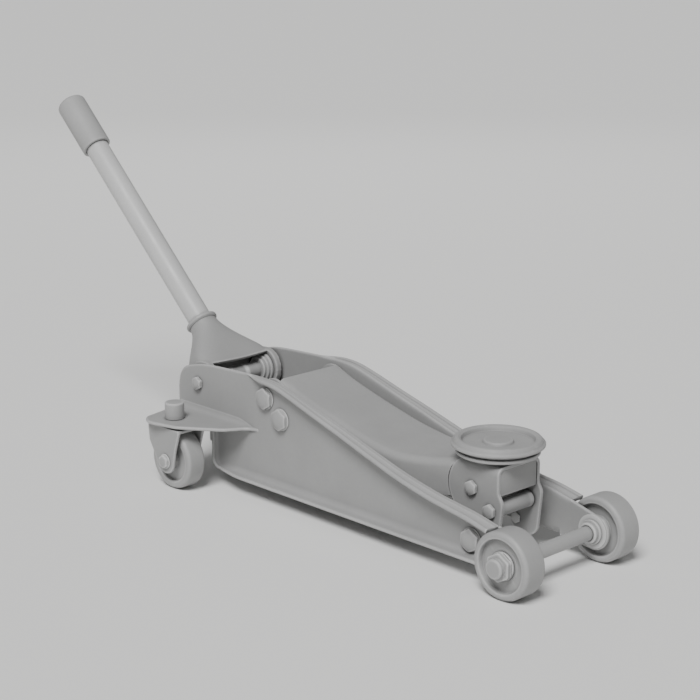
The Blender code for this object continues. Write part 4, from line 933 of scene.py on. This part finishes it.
def cheek_rivet(label, side):
    """A round-headed rivet through the lower lobe of a cheek, its hexagon tail inside."""
    inner = HEAD_HALF - HEAD_WALL
    profile = [(0.0, 4.0), (6.5, 4.0, 2.6), (6.5, 0.3, 0.3), (0.0, 0.3)]
    head = turned("rivet_head", profile, on_axis(CHEEK_RIVET, side * HEAD_HALF), (0, side, 0), 64)
    shank = cross_rod("rivet_shank", 4.0, CHEEK_RIVET, (side * (inner - 2.0), side * (HEAD_HALF + 2.0)))
    tail = hexagon("rivet_tail", 6.5, 2.4, 0.9, CHEEK_RIVET, -side, 0.3 - inner)
    rivet = join("cheek_rivet_set_" + label, [head, shank, tail])
    dress(rivet, "saddle_head", STEEL, "cheek_rivet_" + label)


def head_bracket():
    """The bracket that carries the saddle: cheeks, bent cover, turret, front wall and rivets."""
    parts = [head_cover()] + plate_pair("cheek", cheek_outline(), HEAD_HALF - HEAD_WALL, HEAD_HALF, 0.0)
    round_top = [(max(HEAD_REAR - 1.0, min(HEAD_FRONT - 1.0, x)), y)
                 for x, y in arc((SADDLE_X, 0.0), TURRET_RADIUS, 0, 360, 96)[:-1]]
    parts.append(slab("turret", list(dict.fromkeys(round_top)), HEAD_TOP - 3.0, TURRET_TOP, "XY", 0.0))
    bracket = cast("head_bracket", parts, 0.6, 3)
    boolean(bracket, head_limit(0.0), "INTERSECT")
    dress(bracket, "saddle_head", CAST, "saddle_head")
    half = HEAD_HALF - HEAD_WALL - 0.1
    wall = block("head_wall", (HEAD_FACE - HEAD_WALL, HEAD_FACE), (-half, half), (80.5, HEAD_TOP - 3.6))
    dress(wall, "saddle_head", CAST)
    for label, side in SIDES:
        cheek_rivet(label, side)


def saddle():
    """The base ring and the dish: rolled rim, recessed floor and raised pad."""
    foot = at(SADDLE_X, 0, 0)
    base = [(0.0, 122.0), (42.6, 122.0, 0.8), (45.4, 120.9, 1.2), (45.4, 117.9, 1.2), (43.5, 116.8, 0.8),
            (0.0, 116.8)]
    dress(turned("saddle_ring", base, foot, (0, 0, 1), 144, 0.8), "saddle", STEEL, "saddle_base")
    dish = [(0.0, 131.2), (15.6, 131.2, 1.2), (17.0, 128.2, 0.8), (38.0, 128.2, 1.6), (39.6, 132.8, 1.2),
            (42.6, 134.2, 1.8), (45.6, 133.8, 1.8), (47.9, 131.4, 0.6), (48.3, 130.4, 0.5),
            (50.4, 128.6, 1.4), (50.4, 126.2, 1.2), (48.8, 125.0, 1.2), (43.8, 125.0, 0.8),
            (43.6, 122.3, 0.5), (0.0, 122.3)]
    dress(turned("saddle_plate", dish, foot, (0, 0, 1), 160, 0.8), "saddle", CAST, "saddle_dish")


# ---- handle

def yoke_row(s, half, back, front, power, count=72):
    """A rounded section across the handle: a circle at power 2, squarer as it grows."""
    middle = (back + front) / 2
    depth = (front - back) / 2
    points = []
    for i in range(count):
        angle = 2 * math.pi * i / count
        cosine = math.cos(angle)
        sine = math.sin(angle)
        across = half * math.copysign(abs(cosine) ** (2 / power), cosine)
        points.append(on_handle(s, across, middle + depth * math.copysign(abs(sine) ** (2 / power), sine)))
    return points


def yoke():
    """The cast socket: a bell under a rolled lip, with two round ears."""
    bell = loft("bell", [yoke_row(*station) for station in spline(YOKE_SECTIONS, 6)])
    ears = cross_rod("ears", EAR_RADIUS, HANDLE_PIVOT, (-EAR_OUTER, EAR_OUTER), 0.0, 96)
    rows = []
    for k in range(9):
        share = k / 4 - 1
        top = YOKE_CUT - YOKE_SAG * (1 - share ** 2)
        window = ((-50.0, -39.0), (-50.0, 51.0), (top, 51.0), (top, -39.0))
        rows.append([on_handle(s, EAR_INNER * share, n) for s, n in window])
    gap = loft("gap", rows)
    room = cross_rod("disc_room", 20.0, HANDLE_PIVOT, (-EAR_INNER, EAR_INNER), 0.0, 64)
    casting = cast("socket_casting", [bell, ears], 1.0, 7, gap, room)
    lip_profile = [(14.9, 3.2, 0.8), (18.0, 3.2, 1.4), (20.4, 1.4, 1.6), (20.4, -1.4, 1.6), (18.4, -3.4, 1.4),
                   (14.9, -3.4)]
    lip = turned("socket_lip", lip_profile, on_handle(SOCKET_END, 0, 0), HANDLE_UP, 96, 0.8)
    dress(casting, "handle_yoke", CAST, "handle_yoke")
    dress(lip, "handle_yoke", CAST)


def cross_tube():
    """The tube between the ears with its stepped discs, and the lever that carries the pump roller."""
    end = EAR_INNER - 0.3
    half = [(19.5, end, 0.6), (19.5, end - 3.4, 0.8), (17.5, end - 3.8, 0.6), (17.5, end - 7.4, 0.8),
            (14.5, end - 8.0, 0.6), (14.5, end - 11.0, 0.8), (9.5, end - 11.6, 0.6)]
    profile = [(0.0, end)] + half + [(r, -h, c) for r, h, c in half[::-1]] + [(0.0, -end)]
    parts = [turned("cross_shaft", profile, on_axis(HANDLE_PIVOT), (0, 1, 0), 80, 0.6)]
    roller = (HANDLE_PIVOT[0], PLUNGER_Z)
    parts += plate_pair("roller_lever", capsule(HANDLE_PIVOT, roller, 9.0, 6.0), 9.0, 13.0, 0.8)
    parts.append(cross_rod("roller_pin", 4.0, roller, (-11.0, 11.0)))
    dress(join("cross_shaft_set", parts), "handle_yoke", STEEL, "yoke_cross_tube")
    wheel = cross_rod("pump_wheel", ROLLER_RADIUS, roller, (-8.0, 8.0), 0.9)
    dress(wheel, "pump_roller", STEEL, "pump_roller")


def handle():
    """The handle tube and its soft grip."""
    foot = on_handle(0, 0, 0)
    top = TUBE_END + GAP
    tube = [(12.3, TUBE_END), (TUBE_RADIUS, TUBE_END, 0.5), (TUBE_RADIUS, 34.0, 0.5), (12.3, 34.0)]
    dress(turned("pull_tube", tube, foot, HANDLE_UP, 96, 0.4), "handle", STEEL, "handle_tube")
    grip = [(0.0, GRIP_END), (GRIP_RADIUS, GRIP_END, 5.6), (GRIP_RADIUS, GRIP_START, 1.6),
            (15.0, GRIP_START, 0.6), (15.0, top), (0.0, top)]
    dress(turned("pull_grip", grip, foot, HANDLE_UP, 112), "handle", RUBBER, "handle_grip")


# ---- casters

def caster(label, side):
    """A rear caster: kingpin, fork, axle bolt and nut, and its wheel."""
    y = side * CASTER_Y
    body = "caster_" + label
    post_foot = SHELF_TOP + GAP
    kingpin = [(0.0, 103.5), (11.5, 103.5, 1.5), (11.5, post_foot, 0.4), (6.0, post_foot), (6.0, 73.6),
               (0.0, 73.6)]
    post = turned("caster_post_" + label, kingpin, at(CASTER_X, y, 0), (0, 0, 1), 80)
    dress(post, body, STEEL, "caster_kingpin_" + label)
    shoulder = FORK_TOP - 3.0
    leg = [(CASTER_X - 26.0, shoulder), (CASTER_X - 24.0, 56.0)] + arc(CASTER_HUB, 15.0, 200, 340, 24)
    leg += [(CASTER_X + 24.5, 52.0), (CASTER_X + 32.0, shoulder), (CASTER_X + 29.0, FORK_TOP),
            (CASTER_X - 23.0, FORK_TOP)]
    crown_half = FORK_OUTER - 0.5
    parts = [block("crown", (CASTER_X - 25.0, CASTER_X + 31.0), (y - crown_half, y + crown_half),
                   (73.5, FORK_TOP), 0.0)]
    parts += plate_pair("leg", leg, FORK_INNER, FORK_OUTER, 0.0, y)
    dress(cast("fork_" + label, parts, 0.7, 5), body, PAINT, "caster_fork_" + label)
    far = y + FORK_OUTER
    near = y - FORK_OUTER
    bolt = [cross_rod("pin", 5.0, CASTER_HUB, (near, far + 4.0)),
            washer("pin_washer", 9.0, 4.0, 1.0, CASTER_HUB, -1, -(near - 0.1)),
            hexagon("pin_head", 8.0, 4.4, 1.4, CASTER_HUB, -1, -(near - 1.1))]
    dress(join("caster_pin_" + label, bolt), body, STEEL, "caster_bolt_" + label)
    nut = hexagon("caster_hex_" + label, 8.0, 5.2, 1.4, CASTER_HUB, 1, far + 0.1)
    dress(nut, body, STEEL, "caster_nut_" + label)
    caster_wheel(label, y)


def caster_wheel(label, y):
    """A caster's wheel, with a hub out to the fork on both sides."""
    floor = CASTER_HALF - CASTER_RECESS_DEPTH
    hub = FORK_INNER - GAP
    upper = [(5.3, hub), (9.0, hub, 0.6), (9.6, floor, 0.8), (25.4, floor, 1.2), (26.6, CASTER_HALF, 0.9)]
    rim = arc((CASTER_RADIUS - CASTER_ROUND, CASTER_HALF - CASTER_ROUND), CASTER_ROUND, 90, 0, 8)
    upper += [(radius, height, 0.0) for radius, height in rim]
    profile = upper + [(radius, -height, *corner) for radius, height, *corner in upper[::-1]]
    wheel = turned("caster_roller_" + label, profile, on_axis(CASTER_HUB, y), (0, 1, 0), 128, 0.4)
    dress(wheel, "caster_wheel_" + label, WHEEL_GREY, "caster_wheel_" + label)


# ---- power unit

def rod_x(name, radius, x_range, z, rounding=0.6):
    """A rod along X in the middle plane."""
    low, high = sorted(x_range)
    profile = [(0.0, high - low), (radius, high - low), (radius, 0.0), (0.0, 0.0)]
    return turned(name, profile, at(low, 0, z), (1, 0, 0), 72, rounding)


def power_unit():
    """The casting with the lift cylinder and the pump barrel, and its fittings."""
    width = (-UNIT_HALF, UNIT_HALF)
    span = (-TUBE_HALF, TUBE_HALF)
    parts = [block("unit_block", (UNIT_REAR, UNIT_FRONT - 2.0), width, (30.0, UNIT_TOP - 2.0), 0.0),
             block("unit_beam", (UNIT_REAR + 3.0, UNIT_FRONT), span, (60.0, UNIT_TOP), 0.0),
             rod_x("unit_cylinder", 17.0, (UNIT_FRONT - 4.0, CYLINDER_FRONT), RAM_Z, 0.0),
             rod_x("unit_flange", 22.0, (UNIT_FRONT - 4.0, UNIT_FRONT + 5.0), RAM_Z - 2.0, 0.0),
             block("unit_barrel", BARREL, (-13.0, 13.0), (74.0, PLUNGER_Z + 12.0), 0.0)]
    dress(cast("pump_casting", parts, 1.2, 5), "chassis", CAST, "power_unit")
    gland = [(9.2, 5.6), (15.0, 5.6, 0.6), (15.0, 0.3, 0.4), (9.2, 0.3)]
    nut = turned("gland_ring", gland, at(CYLINDER_FRONT, 0, RAM_Z), (1, 0, 0), 72)
    dress(nut, "chassis", STEEL, "gland_nut")
    tank = block("oil_tank", (-500.0, -430.0), (22.0, 42.0), (34.0, TANK_TOP), 5.0)
    dress(tank, "chassis", PAINT, "reservoir")
    plug = [(0.0, 6.2), (5.0, 6.2, 1.2), (6.5, 5.0, 0.8), (6.5, 0.3), (0.0, 0.3)]
    cap = turned("oil_plug", plug, at(-465.0, 32.0, TANK_TOP), (0, 0, 1), 56)
    dress(cap, "chassis", RUBBER, "filler_plug")


def release_valve():
    """The slotted valve screw at the back of the power unit."""
    profile = [(0.0, 8.0), (7.0, 8.0, 1.0), (7.0, 0.3), (5.0, 0.3), (5.0, -19.0, 1.0), (0.0, -21.0)]
    stem = turned("valve_screw", profile, at(UNIT_REAR, 0, 46.0), (-1, 0, 0), 64)
    slot = block("slot", (UNIT_REAR - 9.0, UNIT_REAR - 5.0), (-9.0, 9.0), (44.8, 47.2), 0.0)
    boolean(stem, slot, "DIFFERENCE")
    dress(stem, "release_valve", STEEL, "release_valve")


def ram():
    """The ram and its slotted head."""
    pin_x = LUG_PIN[0]
    rear = pin_x - 13.0
    front = pin_x + 12.0
    dress(rod_x("ram_shaft", 9.0, (-498.0, rear - GAP), RAM_Z), "ram", STEEL, "ram_rod")
    outline = [(rear, 52.0), (front, 52.0), (front, 87.0), (rear, 87.0)]
    head = slab("ram_yoke", outline, -11.0, 11.0, "XZ", 0.0)
    half = 5.9
    slot = arc((pin_x, 80.5 - half), half, 0, 180, 20) + arc((pin_x, 60.0 + half), half, 180, 360, 20)
    boolean(head, slab("slot", slot, -15.0, 15.0, "XZ", 0.0), "DIFFERENCE")
    round_edges(head, 1.2)
    dress(head, "ram", CAST, "ram_head")


def coil(name, start, end, radius, turns, node):
    """A coil spring between two points in metres."""
    axis = end - start
    rotation = turn_to(axis)
    per_turn = 20
    count = turns * per_turn
    curve = bpy.data.curves.new(name, "CURVE")
    curve.dimensions = "3D"
    curve.bevel_depth = SPRING_WIRE * MM
    curve.bevel_resolution = 3
    curve.use_fill_caps = True
    line = curve.splines.new("POLY")
    line.points.add(count)
    for i in range(count + 1):
        local = polar(radius, 2 * math.pi * i / per_turn, 0.0)
        local.z = axis.length * i / count
        line.points[i].co = (*(start + rotation @ local), 1.0)
    obj = show(name, curve)
    bpy.context.view_layer.update()
    mesh = bpy.data.meshes.new_from_object(obj.evaluated_get(bpy.context.evaluated_depsgraph_get()))
    bpy.data.objects.remove(obj, do_unlink=True)
    spring = show(name, mesh)
    shade(spring, 80.0)
    dress(spring, "chassis", STEEL, node)


def pump():
    """The pump plunger and the two springs."""
    face = HANDLE_PIVOT[0] + ROLLER_RADIUS + GAP
    profile = [(0.0, 0.0), (8.5, 0.0, 0.8), (8.5, -3.0, 0.6), (5.0, -3.0), (5.0, -37.7), (0.0, -37.7)]
    rod = turned("pump_rod", profile, at(face, 0, PLUNGER_Z), (-1, 0, 0), 64)
    dress(rod, "plunger", STEEL, "pump_plunger")
    pump_ends = [at(x, 0, PLUNGER_Z) for x in (face + 4.6, BARREL[0] - 1.6)]
    coil("pump_coil", *pump_ends, 7.3, 4, "plunger_spring")
    return_ends = [at(UNIT_FRONT + 1.0, SPRING_Y, 68.0), at(LUG_PIN[0] - 6.5, SPRING_Y, LUG_PIN[1])]
    coil("return_coil", *return_ends, 4.5, 14, "return_spring_right")


# ---- stage, light and camera

def stage():
    """A plain pale floor, wide enough to fill the view."""
    bm = bmesh.new()
    bmesh.ops.create_grid(bm, x_segments=2, y_segments=2, size=40.0)
    floor = object_from("floor", bm)
    floor.location = (0.0, 0.0, -0.0002)
    material = bpy.data.materials.new("floor_pale")
    material.use_nodes = True
    shader = material.node_tree.nodes["Principled BSDF"]
    set_inputs(shader, Base_Color=(0.86, 0.86, 0.85, 1.0), Roughness=0.8)
    floor.data.materials.append(material)


def area_light(name, place, target, size, energy):
    """A soft square light aimed at a point."""
    light = bpy.data.lights.new(name, "AREA")
    light.size = size
    light.energy = energy
    obj = show(name, light)
    obj.location = place
    obj.rotation_euler = (Vector(target) - Vector(place)).to_track_quat("-Z", "Y").to_euler()


def lighting():
    """Soft studio light: a pale surround, a broad key above the camera and weak fills."""
    world = bpy.data.worlds.new("studio")
    world.use_nodes = True
    set_inputs(world.node_tree.nodes["Background"], Color=(1.0, 1.0, 1.0, 1.0), Strength=0.16)
    bpy.context.scene.world = world
    middle = at(-300.0, 0.0, 100.0)
    sun = bpy.data.lights.new("key", "SUN")
    sun.energy = KEY_STRENGTH
    sun.angle = math.radians(KEY_SOFTNESS)
    key = show("key", sun)
    key.rotation_euler = Vector(KEY_FROM).to_track_quat("Z", "Y").to_euler()
    area_light("front", (2.2, -2.1, 1.1), middle, 1.6, 8.0)
    area_light("back", (-1.8, 1.8, 1.6), middle, 2.0, 6.0)


def camera():
    """The camera at the view's angle."""
    data = bpy.data.cameras.new("camera")
    data.lens = CAMERA_LENS
    data.sensor_width = 36.0
    obj = show("camera", data)
    obj.location = at(*CAMERA)
    obj.rotation_euler = (at(*CAMERA_TARGET) - at(*CAMERA)).to_track_quat("-Z", "Y").to_euler()
    bpy.context.scene.camera = obj


def build():
    """Make every piece."""
    for label, side in SIDES:
        side_plate(label, side)
        front_wheel(label, side)
        caster(label, side)
    front_axle()
    brace_bolts()
    cross_bolts()
    arm_cover()
    arm_lug()
    levelling_link()
    head_bracket()
    saddle()
    yoke()
    cross_tube()
    handle()
    power_unit()
    release_valve()
    ram()
    pump()
    stage()
    lighting()
    camera()


build()
